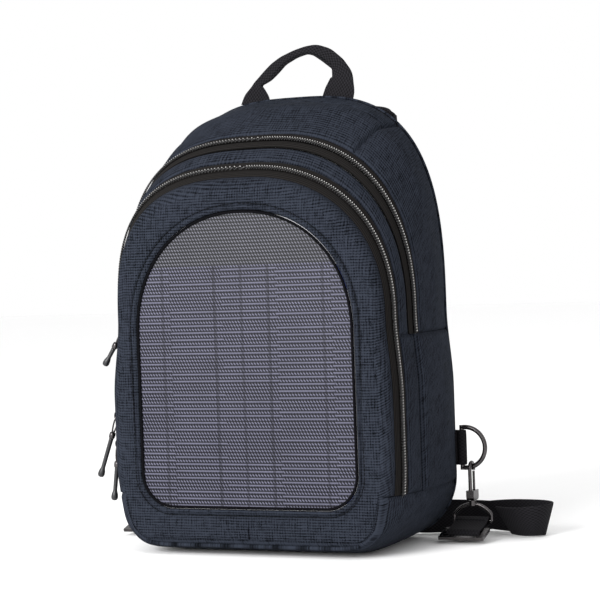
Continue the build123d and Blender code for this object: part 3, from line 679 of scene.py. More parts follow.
# the pattern, step by step: name, operation, then numbers or the names of earlier steps
LENS_ROW, LENS_COLUMN, CELL_TOP = 0.0024, 0.0022, 0.2010
values = {"x": x, "z": z}
for name, operation, *inputs in (
        # embossing: lens rows 2.4 mm apart, lenses 2.2 mm apart, every other row shifted half a lens and slanted
        ("rows up", "DIVIDE", "z", LENS_ROW), ("row", "FLOOR", "rows up"),
        ("odd", "FLOORED_MODULO", "row", 2.0), ("shift", "MULTIPLY", "odd", 0.5),
        ("row part", "FRACT", "rows up"), ("in row", "SUBTRACT", "row part", 0.5),
        ("slant", "MULTIPLY", "in row", 0.75),
        ("columns", "DIVIDE", "x", LENS_COLUMN), ("shifted", "ADD", "columns", "shift"),
        ("slanted", "ADD", "shifted", "slant"), ("column part", "FRACT", "slanted"),
        ("in column", "SUBTRACT", "column part", 0.5),
        ("off row", "ABSOLUTE", "in row"), ("tall", "MULTIPLY", "off row", 2.3),
    ("tall squared", "POWER", "tall", 2.0),
        ("off column", "ABSOLUTE", "in column"), ("wide", "MULTIPLY", "off column", 2.7),
        ("wide squared", "POWER", "wide", 2.0), ("far", "ADD", "tall squared", "wide squared"),
        ("near", "MINIMUM", "far", 1.0), ("lens", "SUBTRACT", 1.0, "near"),
        # cells: blue-violet silicon below 201 mm, split by a gap in the middle and by dark busbars
        ("on cell", "LESS_THAN", "z", CELL_TOP), ("out", "ABSOLUTE", "x"),
    ("middle gap", "LESS_THAN", "out", 0.0007),
        ("from a", "SUBTRACT", "out", 0.0203), ("off a", "ABSOLUTE", "from a"),
    ("bar a", "LESS_THAN", "off a", 0.0011),
        ("from b", "SUBTRACT", "out", 0.0605), ("off b", "ABSOLUTE", "from b"),
    ("bar b", "LESS_THAN", "off b", 0.0007),
        ("either bar", "MAXIMUM", "bar a", "bar b"), ("any line", "MAXIMUM", "either bar", "middle gap"),
        ("bars", "MULTIPLY", "any line", "on cell"),
        # fingers: every second lens row lies over a printed silver line, which runs unbroken between two busbars;
        # each strip between busbars starts on its own row, and one line in five is lost between the lenses
        ("from edge", "ADD", "x", 0.5014), ("strips", "DIVIDE", "from edge", 0.0203),
    ("strip", "FLOOR", "strips"),
        ("half strip", "MULTIPLY", "strip", 0.5), ("pair", "FLOOR", "half strip"),
    ("spread", "MULTIPLY", "pair", 7.3),
        ("chance", "NOISE 3D", "spread", "row"), ("own", "NOISE 1D", "pair"),
        ("start", "ROUND", "own"), ("counted", "ADD", "row", "start"),
    ("parity", "FLOORED_MODULO", "counted", 2.0),
        ("second row", "LESS_THAN", "parity", 0.5), ("kept", "GREATER_THAN", "chance", 0.22),
        ("kept row", "MULTIPLY", "second row", "kept"), ("finger row", "MULTIPLY", "kept row", "on cell"),
        ("above line", "SUBTRACT", "in row", 0.10), ("off line", "ABSOLUTE", "above line"),
        ("fade", "MULTIPLY", "off line", 3.0), ("line", "SUBTRACT", 1.0, "fade"),
    ("line only", "MAXIMUM", "line", 0.0),
        # painted highlight: each embossed lens is painted pale as its glint, dimmer on the finger rows; the printed
        # fingers share that pale colour
        ("dulled", "MULTIPLY", "finger row", 0.6), ("clear", "SUBTRACT", 1.0, "dulled"),
        ("plain", "MULTIPLY", "lens", "clear"), ("finger", "MULTIPLY", "line only", "finger row"),
        ("lens highlight", "POWER", "plain", 0.7), ("light", "MAXIMUM", "lens highlight", "finger"),
        ("bar shade", "MULTIPLY", "bars", 0.5), ("off bars", "SUBTRACT", 1.0, "bar shade")):
    numbers = {place: value for place, value in enumerate(inputs) if not isinstance(value, str)}
    sources = [values[value] for value in inputs if isinstance(value, str)]
    if operation == "NOISE 3D":
        spot = node(tree, "ShaderNodeCombineXYZ", {}, {"X": sources[0], "Y": sources[1]})
        made = node(tree, "ShaderNodeTexWhiteNoise", {}, {"Vector": spot.outputs[0]}, noise_dimensions="3D")
    elif operation == "NOISE 1D":
        made = node(tree, "ShaderNodeTexWhiteNoise", {}, {"W": sources[0]}, noise_dimensions="1D")
    else:
        linked = {place: values[value] for place, value in enumerate(inputs) if isinstance(value, str)}
        made = node(tree, "ShaderNodeMath", numbers, linked, operation=operation)
    values[name] = made.outputs["Value"]
ground = node(tree, "ShaderNodeMix", {}, {0: values["on cell"]}, data_type="RGBA")
ground.inputs[6].default_value, ground.inputs[7].default_value = linear("#08090c"), linear("#05050e")
# bright: the colour of the printed silver fingers and of the painted lens highlights
bright = node(tree, "ShaderNodeMix", {}, {0: values["on cell"]}, data_type="RGBA")
bright.inputs[6].default_value, bright.inputs[7].default_value = linear("#5c5c65"), linear("#5e5e6f")
cloud = node(tree, "ShaderNodeTexNoise", {"Scale": 55.0, "Detail": 2.0},
             {"Vector": node(tree, "ShaderNodeTexCoord").outputs["Object"]})
# brightness wanders by 40 percent over some 20 mm
cloudy = node(tree, "ShaderNodeMath", {1: 0.4, 2: 0.72}, {0: cloud.outputs["Fac"]}, operation="MULTIPLY_ADD")
lit = node(tree, "ShaderNodeMath", {}, {0: values["light"], 1: cloudy.outputs[0]}, operation="MULTIPLY")
amount = node(tree, "ShaderNodeMath", {}, {0: lit.outputs[0], 1: values["off bars"]}, operation="MULTIPLY")
colour = node(tree, "ShaderNodeMix", {}, {0: amount.outputs[0], 6: ground.outputs[2], 7: bright.outputs[2]},
              data_type="RGBA")
tree.links.new(colour.outputs[2], shader.inputs["Base Color"])
tree.links.new(node(tree, "ShaderNodeBump", {"Strength": 0.35, "Distance": 0.0004},
                    {"Height": values["lens"]}).outputs["Normal"],
               shader.inputs["Normal"])
# slightly domed sheet closed at the rim
rings, flat_uv = [], []
for t in np.concatenate([np.linspace(0, 0.94, 36), np.linspace(0.955, 1, 6)]):
    loop = window_line(0.0004, 480)
    centre = np.array([0, 0.140])
    flat = centre + (loop - centre) * max(t, 0.001)
    dome = 0.0010 * (1 - t ** 2) + 0.0003 * ripple(np.stack([flat[:, 0], flat[:, 0] * 0, flat[:, 1]], -1), 51,
                                                   0.09)
    rings.append(np.stack([flat[:, 0], -0.0599 - dome * min(1, (1 - t) * 8), flat[:, 1]], -1))
front_rings = np.array(rings)
back_rings = front_rings * [1, 0, 1] + [0, -0.0594, 0]
count = front_rings.shape[1]
total = len(front_rings) * 2
module = mesh("solar_film_sheet", np.concatenate([front_rings, back_rings[::-1]]),
              [grid_faces(total, count, wrap_columns=True)[:, ::-1], [list(range(count))],
               [list(range((total - 1) * count, total * count))[::-1]]], film)
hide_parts("solar_film")
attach(module, "front_flap")

cells, tree, shader = surface("polycrystalline_silicon", Base_Color=linear("#1c2350"), Roughness=0.3)
object_place = node(tree, "ShaderNodeTexCoord").outputs["Object"]
# crystal grains about 8 mm across, in shades of blue
grains = node(tree, "ShaderNodeTexVoronoi", {"Scale": 120.0}, {"Vector": object_place})
shade = node(tree, "ShaderNodeValToRGB", {}, {"Fac": grains.outputs["Color"]})
shade.color_ramp.elements[0].color, shade.color_ramp.elements[1].color = linear("#141a3c"), linear("#2c3770")
tree.links.new(shade.outputs["Color"], shader.inputs["Base Color"])
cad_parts["solar_cells"].data.materials[0] = cells


def moulded(name, colour, rough, scale=900.0):
    """Moulded plastic: fine spark-eroded grain that dulls the highlight."""
    material, tree, shader = surface(name, Base_Color=linear(colour), Roughness=rough)
    object_place = node(tree, "ShaderNodeTexCoord").outputs["Object"]
    grain = node(tree, "ShaderNodeTexNoise", {"Scale": scale, "Detail": 2.0}, {"Vector": object_place})
    tree.links.new(node(tree, "ShaderNodeMapRange", {"To Min": rough - 0.08, "To Max": rough + 0.1},
                        {"Value": grain.outputs["Fac"]}).outputs["Result"], shader.inputs["Roughness"])
    tree.links.new(node(tree, "ShaderNodeBump", {"Strength": 0.15, "Distance": 0.0002},
                        {"Height": grain.outputs["Fac"]}).outputs["Normal"], shader.inputs["Normal"])
    return material


backing = moulded("laminate_backing_sheet", "#b9b9bd", 0.5)
case_plastic = moulded("regulator_case_plastic", "#1a1a1c", 0.55)
board = moulded("stiffener_board", "#c9c9c6", 0.6)
for name, material in (("solar_backsheet", backing), ("charge_regulator", case_plastic),
                       ("back_stiffener", board)):
    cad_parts[name].data.materials[0] = material
plated, tree, shader = surface("tinned_steel", Base_Color=linear("#a8a8a6"), Metallic=1.0, Roughness=0.35)
brushed = node(tree, "ShaderNodeTexNoise", {"Scale": 700.0},
               {"Vector": node(tree, "ShaderNodeTexCoord").outputs["Object"]})
tree.links.new(node(tree, "ShaderNodeMapRange", {"To Min": 0.28, "To Max": 0.45},
                    {"Value": brushed.outputs["Fac"]}).outputs["Result"], shader.inputs["Roughness"])
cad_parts["usb_socket"].data.materials[0] = plated

# ---------------------------------------------------------------------------
# Sliders and pulls: gunmetal plated zinc sliders on the left, each with a wire
# link, a clasp and a round moulded rod with a swollen end.
# ---------------------------------------------------------------------------
gunmetal, tree, shader = surface("gunmetal_plated_zinc", Base_Color=linear("#5b565a"), Metallic=1.0,
                                 Roughness=0.24)
object_place = node(tree, "ShaderNodeTexCoord").outputs["Object"]
# black nickel over cast zinc: hardly any grain, faint cloudy wear that lightens and dulls it
wear = node(tree, "ShaderNodeTexNoise", {"Scale": 300.0, "Detail": 3.0}, {"Vector": object_place})
shade = node(tree, "ShaderNodeValToRGB", {}, {"Fac": wear.outputs["Fac"]})
shade.color_ramp.elements[0].color, shade.color_ramp.elements[1].color = linear("#333133"), linear("#5f5c5c")
tree.links.new(shade.outputs["Color"], shader.inputs["Base Color"])
tree.links.new(node(tree, "ShaderNodeMapRange", {"To Min": 0.16, "To Max": 0.36},
                    {"Value": wear.outputs["Fac"]}).outputs["Result"], shader.inputs["Roughness"])
rod_plastic = moulded("moulded_pull_rod", "#17171a", 0.4)

PULL_OUT = 0.0056
for word, zip_y, height, rod, lean, body in (("main", MAIN_ZIP, 0.158, 0.012, 32, "main"),
                                             ("front_upper", FRONT_ZIP, 0.096, 0.027, 21, "front_upper"),
                                             ("front_lower", FRONT_ZIP, 0.076, 0.021, 8, "front_lower")):
    def half_at(y, z=height):
        """Half width of the bag on the left at depth y and height z."""
        return -float(on_form(y, np.array([-run_at_height(y, z)]), np.zeros(1))[0, 0])
    slope = math.atan2(half_at(zip_y + 0.005) - half_at(zip_y - 0.005), 0.010)
    origin = np.array([-half_at(zip_y), zip_y, height])
    out = np.array([-math.cos(slope), -math.sin(slope), 0])
    along = np.array([math.sin(slope), -math.cos(slope), 0])
    rise = np.array([0, 0, 1.0])

    def at(o, a, r):
        """Points at distances outwards, along the zip tape's width and upwards from the slider's place."""
        o, a, r = np.broadcast_arrays(o, a, r)
        return origin + out * o[..., None] + along * a[..., None] + rise * r[..., None]

    # slider: a shield-shaped cover, widest at its upper end, with a flat inner plate and a post between
    grids, faces, first = [], [], 0
    for low, top, crown in ((0.0019, 0.0033, 0.0007), (-0.0037, -0.0025, 0.0)):
        v = np.linspace(-1, 1, 15)
        u = np.linspace(-1, 1, 11)
        half_width = 0.0038 - 0.0011 * np.clip(-v, 0, 1) ** 2 - 0.0012 * np.clip(v, 0, 1) ** 6
        sideways, upwards = half_width[:, None] * u, np.broadcast_to(0.0045 * v[:, None], (15, 11))
        cover = at(top + crown * (1 - u * u) * (1 - v[:, None] ** 4), sideways, upwards)
        under = at(low, sideways, upwards)
        ring = np.concatenate([cover, under[::-1]])
        ends = np.arange(30) * 11 + first
        faces += [grid_faces(30, 11, wrap_rows=True, first=first), [ends.tolist()],
                  [(ends + 10)[::-1].tolist()]]
        grids.append(ring.reshape(-1, 3))
        first += 330
    slider = mesh(word + "_slider_body", np.concatenate(grids), faces, gunmetal)
    bridge_t = np.linspace(0, np.pi, 13)
    bridge = tube(word + "_slider_bridge",
                  [at(0.0034 + 0.0046 * np.abs(np.sin(bridge_t)) ** 0.6, 0, 0.0034 * np.cos(bridge_t))],
                  0.0005, gunmetal, flat=(0.0011, along))
    post = tube(word + "_slider_post", [[origin + out * -0.003, origin + out * 0.0025]], 0.0003, gunmetal)
    for piece in (slider, bridge, post):
        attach(piece, body + "_slider")
    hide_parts(word + "_slider")

    hang = -rise * math.cos(math.radians(lean)) + out * math.sin(math.radians(lean))
    pivot = at(PULL_OUT, 0, 0)
    a = np.linspace(0, 2 * np.pi, 28, endpoint=False)
    a = a[:, None]
    link = pivot + hang * (0.0065 - 0.0072 * np.cos(a)) + along * 0.0025 * np.sin(a) * (1 + 0.25 * np.cos(a))
    ring = tube(word + "_pull_link", [link], 0.00065, gunmetal, closed=True)
    clasp = tube(word + "_pull_clasp", [[pivot + hang * d for d in (0.0125, 0.0130, 0.0145, 0.0165, 0.0175)]],
                 (0.0011, 0.0021, 0.0023, 0.0022, 0.0017), gunmetal, sides=14)
    d = np.array([0, 0.0006, 0.0015, rod - 0.0045, rod - 0.0035, rod - 0.0015, rod + 0.001, rod + 0.0024,
                  rod + 0.0030]) + 0.0172
    grip = tube(word + "_pull_rod", [[pivot + hang * s for s in d]],
                (0.0012, 0.0017, 0.0016, 0.0015, 0.0017, 0.0023, 0.0025, 0.0020, 0.0008), rod_plastic, sides=16)
    for piece, slot in ((ring, "gunmetal"), (clasp, "gunmetal"), (grip, "rod_plastic")):
        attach(piece, body + "_pull")
    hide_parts(word + "_pull")

# ---------------------------------------------------------------------------
# Grab handle: 25 mm polypropylene webbing, flat at its two feet and folded in
# half along the grip, sewn into the top seam under a stitched seam flap.
# ---------------------------------------------------------------------------
webbing, tree, shader = surface("black_polypropylene_webbing", Roughness=0.7, Specular_IOR_Level=0.05)
place = node(tree, "ShaderNodeUVMap", uv_map="cloth").outputs["UV"]
# plain-woven webbing: 21 warp ribs across 25 mm, weft every 1.5 mm, so the eye sees rows of small raised grains
across_ribs = node(tree, "ShaderNodeVectorMath", {1: (670, 840, 1)}, {0: place}, operation="MULTIPLY")
grains = node(tree, "ShaderNodeTexChecker", {"Scale": 1.0}, {"Vector": across_ribs.outputs[0]})
fuzz = node(tree, "ShaderNodeTexNoise", {"Scale": 1.4, "Detail": 2.0}, {"Vector": across_ribs.outputs[0]})
grain_height = node(tree, "ShaderNodeMath", {1: 0.55}, {0: grains.outputs["Fac"], 2: fuzz.outputs["Fac"]},
                    operation="MULTIPLY_ADD")
shade = node(tree, "ShaderNodeValToRGB", {}, {"Fac": grain_height.outputs[0]})
shade.color_ramp.elements[0].position, shade.color_ramp.elements[1].position = 0.25, 1.2
shade.color_ramp.elements[0].color, shade.color_ramp.elements[1].color = linear("#020203"), linear("#201f22")
tree.links.new(shade.outputs["Color"], shader.inputs["Base Color"])
tree.links.new(node(tree, "ShaderNodeBump", {"Strength": 0.5, "Distance": 0.0005},
                    {"Height": grain_height.outputs[0]}).outputs["Normal"], shader.inputs["Normal"])


def ribbon(name, centre, across, half_width, half_thick, material=webbing, sides=28, power=5.0):
    """Band along a line: at each point a flattened superellipse, |u|^p + |v|^p = 1, half_width along the given
    across direction and half_thick along its normal; closed at both ends."""
    centre, across = np.asarray(centre, float), np.asarray(across, float)
    count = len(centre)
    ahead = np.gradient(centre, axis=0)
    ahead /= np.linalg.norm(ahead, axis=1, keepdims=True)
    across = across - (across * ahead).sum(1, keepdims=True) * ahead
    across /= np.linalg.norm(across, axis=1, keepdims=True)
    normal = np.cross(ahead, across)
    a = np.linspace(0, 2 * np.pi, sides, endpoint=False)
    u = np.sign(np.cos(a)) * np.abs(np.cos(a)) ** (2 / power)
    v = np.sign(np.sin(a)) * np.abs(np.sin(a)) ** (2 / power)
    w = np.broadcast_to(np.asarray(half_width, float), (count,))[:, None, None]
    h = np.broadcast_to(np.asarray(half_thick, float), (count,))[:, None, None]
    ring = centre[:, None] + w * u[None, :, None] * across[:, None] + h * v[None, :, None] * normal[:, None]
    run = np.concatenate([[0], np.cumsum(np.linalg.norm(np.diff(centre, axis=0), axis=1))])
    uv = np.stack([np.broadcast_to(run[:, None], (count, sides)), (w * u[None, :, None])[..., 0]], -1)
    ends = [[np.arange(sides)[::-1].tolist()], [((count - 1) * sides + np.arange(sides)).tolist()]]
    return mesh(name, ring.reshape(-1, 3), [grid_faces(count, sides, wrap_columns=True)] + ends, material,
                uv.reshape(-1, 2))


def smooth_rows(rows, count):
    """Rows of numbers joined by a smooth curve: straight runs averaged over a narrow bell."""
    rows = np.asarray(rows, float)
    t = np.concatenate([[0], np.cumsum(np.hypot(*np.diff(rows[:, :2], axis=0).T))])
    fine = np.linspace(0, t[-1], 801)
    line = np.stack([np.interp(fine, t, rows[:, k]) for k in range(rows.shape[1])], 1)
    bell = np.exp(-0.5 * (np.arange(-60, 61) / 12.0) ** 2)
    wide = np.concatenate([2 * line[:1] - line[60:0:-1], line, 2 * line[-1:] - line[-2:-62:-1]])
    line = np.stack([np.convolve(wide[:, k], bell / bell.sum(), "valid") for k in range(rows.shape[1])], 1)
    pick = np.linspace(0, 800, count)
    return np.stack([np.interp(pick, np.arange(801), line[:, k]) for k in range(rows.shape[1])], 1)


# sideways place, height, half width, half thickness, in mm, from the left foot over the grip to the right foot
HANDLE = [(-34, 318.5, 12.2, 0.9), (-33, 326, 10.0, 0.9), (-31.8, 334.8, 2.6, 2.2), (-24, 340, 4.4, 2.2),
          (-17.5, 345.3, 4.5, 2.1), (-11, 350, 3.5, 2.4), (0, 354.4, 2.9, 2.6), (9, 356.6, 2.9, 2.4),
          (16, 356.0, 4.3, 2.0), (24, 351.8, 5.6, 1.6), (32.5, 344.5, 5.4, 1.5), (35.5, 336, 8.2, 1.1),
          (33.5, 326, 11.6, 0.9), (31, 318.5, 12.0, 0.9)]
line = smooth_rows(HANDLE, 120) / 1000
tangent = np.gradient(line[:, :2], axis=0)
tangent /= np.linalg.norm(tangent, axis=1, keepdims=True)
sway = 0.0012 * np.sin(np.linspace(0, 3 * np.pi, 120)) * np.sin(np.linspace(0, np.pi, 120))
handle = ribbon("grab_handle_webbing", np.stack([line[:, 0], 0.053 + sway, line[:, 1]], -1),
                np.stack([-tangent[:, 1], np.zeros(120), tangent[:, 0]], -1), line[:, 2], line[:, 3])
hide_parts("grab_handle")
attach(handle, "grab_handle")
# seam along the folded grip, sewn through both layers close to its lower edge
grip = slice(28, 92)
lower = np.stack([line[grip, 0] + tangent[grip, 1] * 0.6 * line[grip, 2],
                  0.053 + sway[grip] - line[grip, 3] - 0.0001,
                  line[grip, 1] - tangent[grip, 0] * 0.6 * line[grip, 2]], -1)
stitches("grab_handle_stitching", lower, np.tile([0, -1.0, 0], (64, 1)), "grab_handle", length=0.0028)

# ---------------------------------------------------------------------------
# Back: foam panel under black spacer mesh, quilted into three pads with air
# channels, on a stiff board; strap heads and handle are sewn into its top.
# ---------------------------------------------------------------------------
spacer, tree, shader = surface("black_spacer_mesh", Roughness=0.85, Sheen_Weight=0.05, Specular_IOR_Level=0.15)
place = node(tree, "ShaderNodeTexCoord").outputs["Object"]
flat_place = node(tree, "ShaderNodeVectorMath", {1: (1, 0, 1)}, {0: place}, operation="MULTIPLY")
# knitted spacer fabric: round holes on a 3 mm grid, drawn as cells, each hole painted darker towards its middle as
# painted shade in its hollow
holes = node(tree, "ShaderNodeTexVoronoi", {"Scale": 340.0, "Randomness": 0.25},
             {"Vector": flat_place.outputs[0]})
shade = node(tree, "ShaderNodeValToRGB", {}, {"Fac": holes.outputs["Distance"]})
shade.color_ramp.elements[0].position, shade.color_ramp.elements[1].position = 0.22, 0.42
shade.color_ramp.elements[0].color, shade.color_ramp.elements[1].color = linear("#060607"), linear("#232327")
tree.links.new(shade.outputs["Color"], shader.inputs["Base Color"])
tree.links.new(node(tree, "ShaderNodeBump", {"Strength": 0.5, "Distance": 0.0008},
                    {"Height": shade.outputs["Color"]}).outputs["Normal"], shader.inputs["Normal"])


def pads(x, z):
    """Height of the quilted back: three swells, two tall ones beside the spine and one low across the hips."""
    def swell(u, v):
        """Pad height from 0 at its rim to 1: the root of (1 - u^4)(1 - v^4)."""
        inside = np.clip(1 - np.abs(u) ** 4, 0, 1) * np.clip(1 - np.abs(v) ** 4, 0, 1)
        return inside ** 0.5
    tall = swell((np.abs(x) - 0.048) / 0.038, (z - 0.185) / 0.100)
    low = swell(x / 0.086, (z - 0.046) / 0.030)
    return 0.0030 * np.maximum(tall, low)


back_rings, front_rings = [], []
for t in np.concatenate([np.linspace(0.002, 0.9, 70), np.linspace(0.92, 1.0, 9)]):
    edge = on_form(0.0512, face_runs, np.full(ROUND, -0.0012))
    flat_x, flat_z = edge[:, 0] * t, 0.150 + (edge[:, 2] - 0.150) * t
    rim = np.clip((1 - t) * 9, 0, 1) ** 0.5
    back_y = 0.0502 + 0.0030 * rim + (pads(flat_x, flat_z) - 0.0012) * rim
    back_rings.append(np.stack([flat_x, np.minimum(back_y, 0.0552), flat_z], -1))
    front_rings.append(np.stack([flat_x, np.full(ROUND, 0.0478) + 0.0014 * (1 - rim), flat_z], -1))
shell_rows = np.concatenate([np.array(back_rings), np.array(front_rings)[::-1]])
total = len(shell_rows)
back_pad = mesh("back_panel_mesh_foam", shell_rows.reshape(-1, 3),
                [grid_faces(total, ROUND, wrap_columns=True), [list(range(ROUND))[::-1]],
                 [list(range((total - 1) * ROUND, total * ROUND))]], spacer)
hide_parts("back_panel")
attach(back_pad, "bag")
# bound seam: a narrow folded tape covers the cut edges of back, yoke, sides and bottom all the way round
binding_line = on_form(0.0480, face_runs, np.full(ROUND, -0.0002))
binding = tube("back_seam_binding", [binding_line[::2]], 0.0009, navy, closed=True, sides=10,
               uv=np.stack([np.arange(ROUND // 2) * 0.0026, np.arange(ROUND // 2) * 0.0004], -1))
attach(binding, "bag")


def slab(name, centre, half, depth, material, power=6.0, rows=26, columns=34, curve=0.0, slant=0.0):
    """Sewn flat patch: an upright superellipse disc, half across and half high, with edges rounded towards the
    rim; curve leans its top forward, and slant tips its upper edge sideways."""
    rings = []
    for side in (1, -1):
        for t in (np.linspace(0.01, 1, rows) if side > 0 else np.linspace(1, 0.01, rows)):
            a = np.linspace(0, 2 * np.pi, columns * 4, endpoint=False)
            x = half[0] * t * np.sign(np.cos(a)) * np.abs(np.cos(a)) ** (2 / power)
            z = half[1] * t * np.sign(np.sin(a)) * np.abs(np.sin(a)) ** (2 / power)
            y = side * depth * (1 - t ** 8) ** 0.5
            lean = -curve * np.clip(z / half[1], 0, 1) ** 2
            rings.append(np.stack([centre[0] + x, centre[1] + y + lean, centre[2] + z + slant * x * (z > 0)],
                                  -1))
    rings = np.array(rings)
    total, count = rings.shape[:2]
    uv = rings[..., [0, 2]]
    return mesh(name, rings.reshape(-1, 3),
                [grid_faces(total, count, wrap_columns=True)[:, ::-1], [list(range(count))],
                [list(range((total - 1) * count, total * count))[::-1]]], material, uv)


patch = slab("handle_seam_flap", (0, 0.0567, 0.306), (0.0258, 0.0070), 0.0010, navy)
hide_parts("handle_patch")
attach(patch, "bag")
a = np.linspace(0, 2 * np.pi, 200)
border = np.stack([0.0235 * np.sign(np.cos(a)) * np.abs(np.cos(a)) ** 0.33, np.full(200, 0.0577),
                   0.306 + 0.0050 * np.sign(np.sin(a)) * np.abs(np.sin(a)) ** 0.33], -1)
stitches("handle_flap_stitching", border, np.tile([0, 1.0, 0], (200, 1)), "bag")

# ---------------------------------------------------------------------------
# Shoulder straps: curved foam straps, navy outside and spacer mesh inside, edge
# stitched; each hangs from a sewn head and ends in 25 mm webbing.
# ---------------------------------------------------------------------------
STRAP_OUT = 0.050
for side, word in ((1, "right"), (-1, "left")):
    head = slab("strap_head_pad_" + word, (side * STRAP_OUT, 0.0572, 0.3010), (0.0225, 0.0128), 0.0013, webbing,
                curve=0.0016, slant=-side * 0.13)
    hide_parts("strap_head_" + word)
    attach(head, "bag")
    box_line = np.array([(-0.018, 0.292), (0.018, 0.292), (0.018, 0.308), (-0.018, 0.308), (-0.018, 0.292),
                         (0.018, 0.308), (0.018, 0.292), (-0.018, 0.308)])
    stitches("strap_head_stitching_" + word,
             np.stack([side * STRAP_OUT + box_line[:, 0], np.full(8, 0.05855), box_line[:, 1]], -1),
             np.tile([0, 1.0, 0], (8, 1)), "bag")

    # pad: centre line leans outwards and its width narrows from 45 to 26 mm below the chest
    z = np.linspace(0.0815, 0.3115, 110)
    centre_x = side * (STRAP_OUT + 0.018 * np.clip((0.312 - z) / 0.232, 0, 1) ** 1.1)
    half = 0.0130 + 0.0095 / (1 + np.exp(-(z - 0.155) / 0.022))
    half = half * np.clip(np.minimum(z - 0.0795, 0.3135 - z) / 0.008, 0.2, 1) ** 0.35
    a = np.linspace(0, 2 * np.pi, 96, endpoint=False)
    u = np.sign(np.cos(a)) * np.abs(np.cos(a)) ** 0.55
    v = np.sign(np.sin(a)) * np.abs(np.sin(a)) ** 0.55
    end = np.clip(np.minimum(z - 0.0805, 0.3125 - z) / 0.006, 0.05, 1) ** 0.5
    across = u[None, :] * half[:, None]
    inset = half[:, None] - np.abs(across)
    thick = 0.0041 * end[:, None] * (1 - 0.42
                                     * np.exp(-(inset / 0.0035) ** 2)) - 0.0010 * np.exp(-((inset - 0.0048) / 0.0011) ** 2)
    points = np.stack([centre_x[:, None] + across, 0.0633 + v[None, :] * thick,
                       np.broadcast_to(z[:, None], across.shape)], -1)
    points[..., 1] += 0.0003 * ripple(points, 61 + side, 0.05)
    uv = np.stack([across, np.broadcast_to(z[:, None], across.shape)], -1)
    flip = slice(None, None, -1)
    pad = mesh("shoulder_strap_pad_" + word, points.reshape(-1, 3),
               [grid_faces(110, 96, wrap_columns=True), [list(range(96))[::-1]],
                [list(range(109 * 96, 110 * 96))]],
               navy, uv.reshape(-1, 2))
    pad.data.materials.append(spacer)
    # the side against the wearer, behind, is the navy one; the side against the bag is mesh
    middle = points.reshape(-1, 3)[:, 1]
    behind = middle.reshape(110, 96)
    lining_faces = np.zeros(len(pad.data.polygons), np.int32)
    lining_faces[:109 * 96] = ((behind[:-1] + behind[1:]) / 2 < 0.0633).ravel()
    pad.data.polygons.foreach_set("material_index", lining_faces)
    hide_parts("shoulder_strap_" + word)
    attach(pad, "shoulder_strap_" + word)
    for edge in (-1, 1):
        seam = np.stack([centre_x + edge * (half - 0.0048), np.full(110, 0.0670), z], -1)[6:-6]
        stitches(f"strap_edge_stitching_{word}_{'outer' if edge * side > 0 else 'inner'}", seam,
                 np.tile([0, 1.0, 0], (98, 1)), "shoulder_strap_" + word, length=0.0036)

# ---------------------------------------------------------------------------
# Strap ends: webbing below each pad folds at the ground and lies on edge in an
# open loop; its free end lies behind the slide buckle.
# ---------------------------------------------------------------------------
for side, word in ((1, "right"), (-1, "left")):
    # the webbing's own line, with the route's points as control points of one smooth spline
    end = ([(150, 82, 12.3), (178, 73, 12.5), (172, 54, 12.7), (161, 54, 11.8), (151, 61, 10.8),
            (142, 69, 10.6)] if side > 0 else
           [(140, 83, 12.4), (156, 80, 12.6), (157, 68, 12.7), (151, 62, 12.6), (143, 62, 12.2),
            (132, 65, 11.4), (120, 68, 10.8)])
    route = [(68, 63.4, 79), (68, 63.4, 62), (68, 63.4, 45), (68, 63.4, 28), (69, 63.4, 14), (84, 64.5, 12.7),
             (118, 80, 12.7)] + end
    curve = bpy.data.curves.new("strap_route_" + word, "CURVE")
    curve.dimensions = "3D"
    curve.resolution_u = 24
    spline = curve.splines.new("NURBS")
    spline.points.add(len(route) - 1)
    spline.points.foreach_set("co", np.array([(side * x / 1000, y / 1000, z / 1000, 1) for x, y,
                                              z in route]).ravel())
    spline.order_u = 3
    spline.use_endpoint_u = True
    holder = bpy.data.objects.new("strap_route_" + word, curve)
    drawn = bpy.data.meshes.new_from_object(holder)
    line = np.empty(len(drawn.vertices) * 3)
    drawn.vertices.foreach_get("co", line)
    line = line.reshape(-1, 3)
    bpy.data.objects.remove(holder)
    bpy.data.curves.remove(curve)
    bpy.data.meshes.remove(drawn)
    if line[0, 2] < line[-1, 2]:
        line = line[::-1]
    run = np.concatenate([[0], np.cumsum(np.linalg.norm(np.diff(line, axis=0), axis=1))])
    steps = np.linspace(0, run[-1], 260)
    line = np.stack([np.interp(steps, run, line[:, k]) for k in range(3)], -1)
    # width lies across the body on the way down, turns through the fold, then stands upright; the last part leans
    ahead = np.gradient(line, axis=0)
    ahead /= np.linalg.norm(ahead, axis=1, keepdims=True)
    outwards = np.cross(np.array([0, 1.0, 0]), ahead)
    upright = np.cross(ahead, np.cross(np.array([0, 0, 1.0]), ahead))
    turned = np.clip((0.013 - line[:, 2]) / 0.0003 + 0.5, 0, 1)[:, None]
    down = (line[:, 2] > 0.020)[:, None]
    across = np.where(down, np.array([1.0, 0, 0]), upright)
    level = np.cross(ahead, np.array([0, 0, 1.0]))
    part = steps / run[-1]
    lean = np.radians(np.interp(part, (0.36, 0.46, 0.56, 0.64, 0.72, 0.82, 0.90, 1),
                                (0, 16, 26, 8, -4, -22, -30, -32)))
    across = np.where(down, across, across * np.cos(lean)[:, None] + side * level * np.sin(lean)[:, None])
    # mitred fold: at the corner the two directions meet on a slant
    corner = np.argmin(np.abs(line[:, 2] - 0.020))
    quarter = np.linspace(0, np.pi / 2, 29)[:, None]
    across[corner - 14:corner
           + 15] = [1.0, 0, 0] * np.cos(quarter) + side * np.array([0, 0, 1.0]) * np.sin(quarter)
    across[corner + 15:] *= side
    band = ribbon("strap_webbing_band_" + word, line, across, 0.0123, 0.0008)
    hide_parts("strap_webbing_" + word)
    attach(band, "bag")

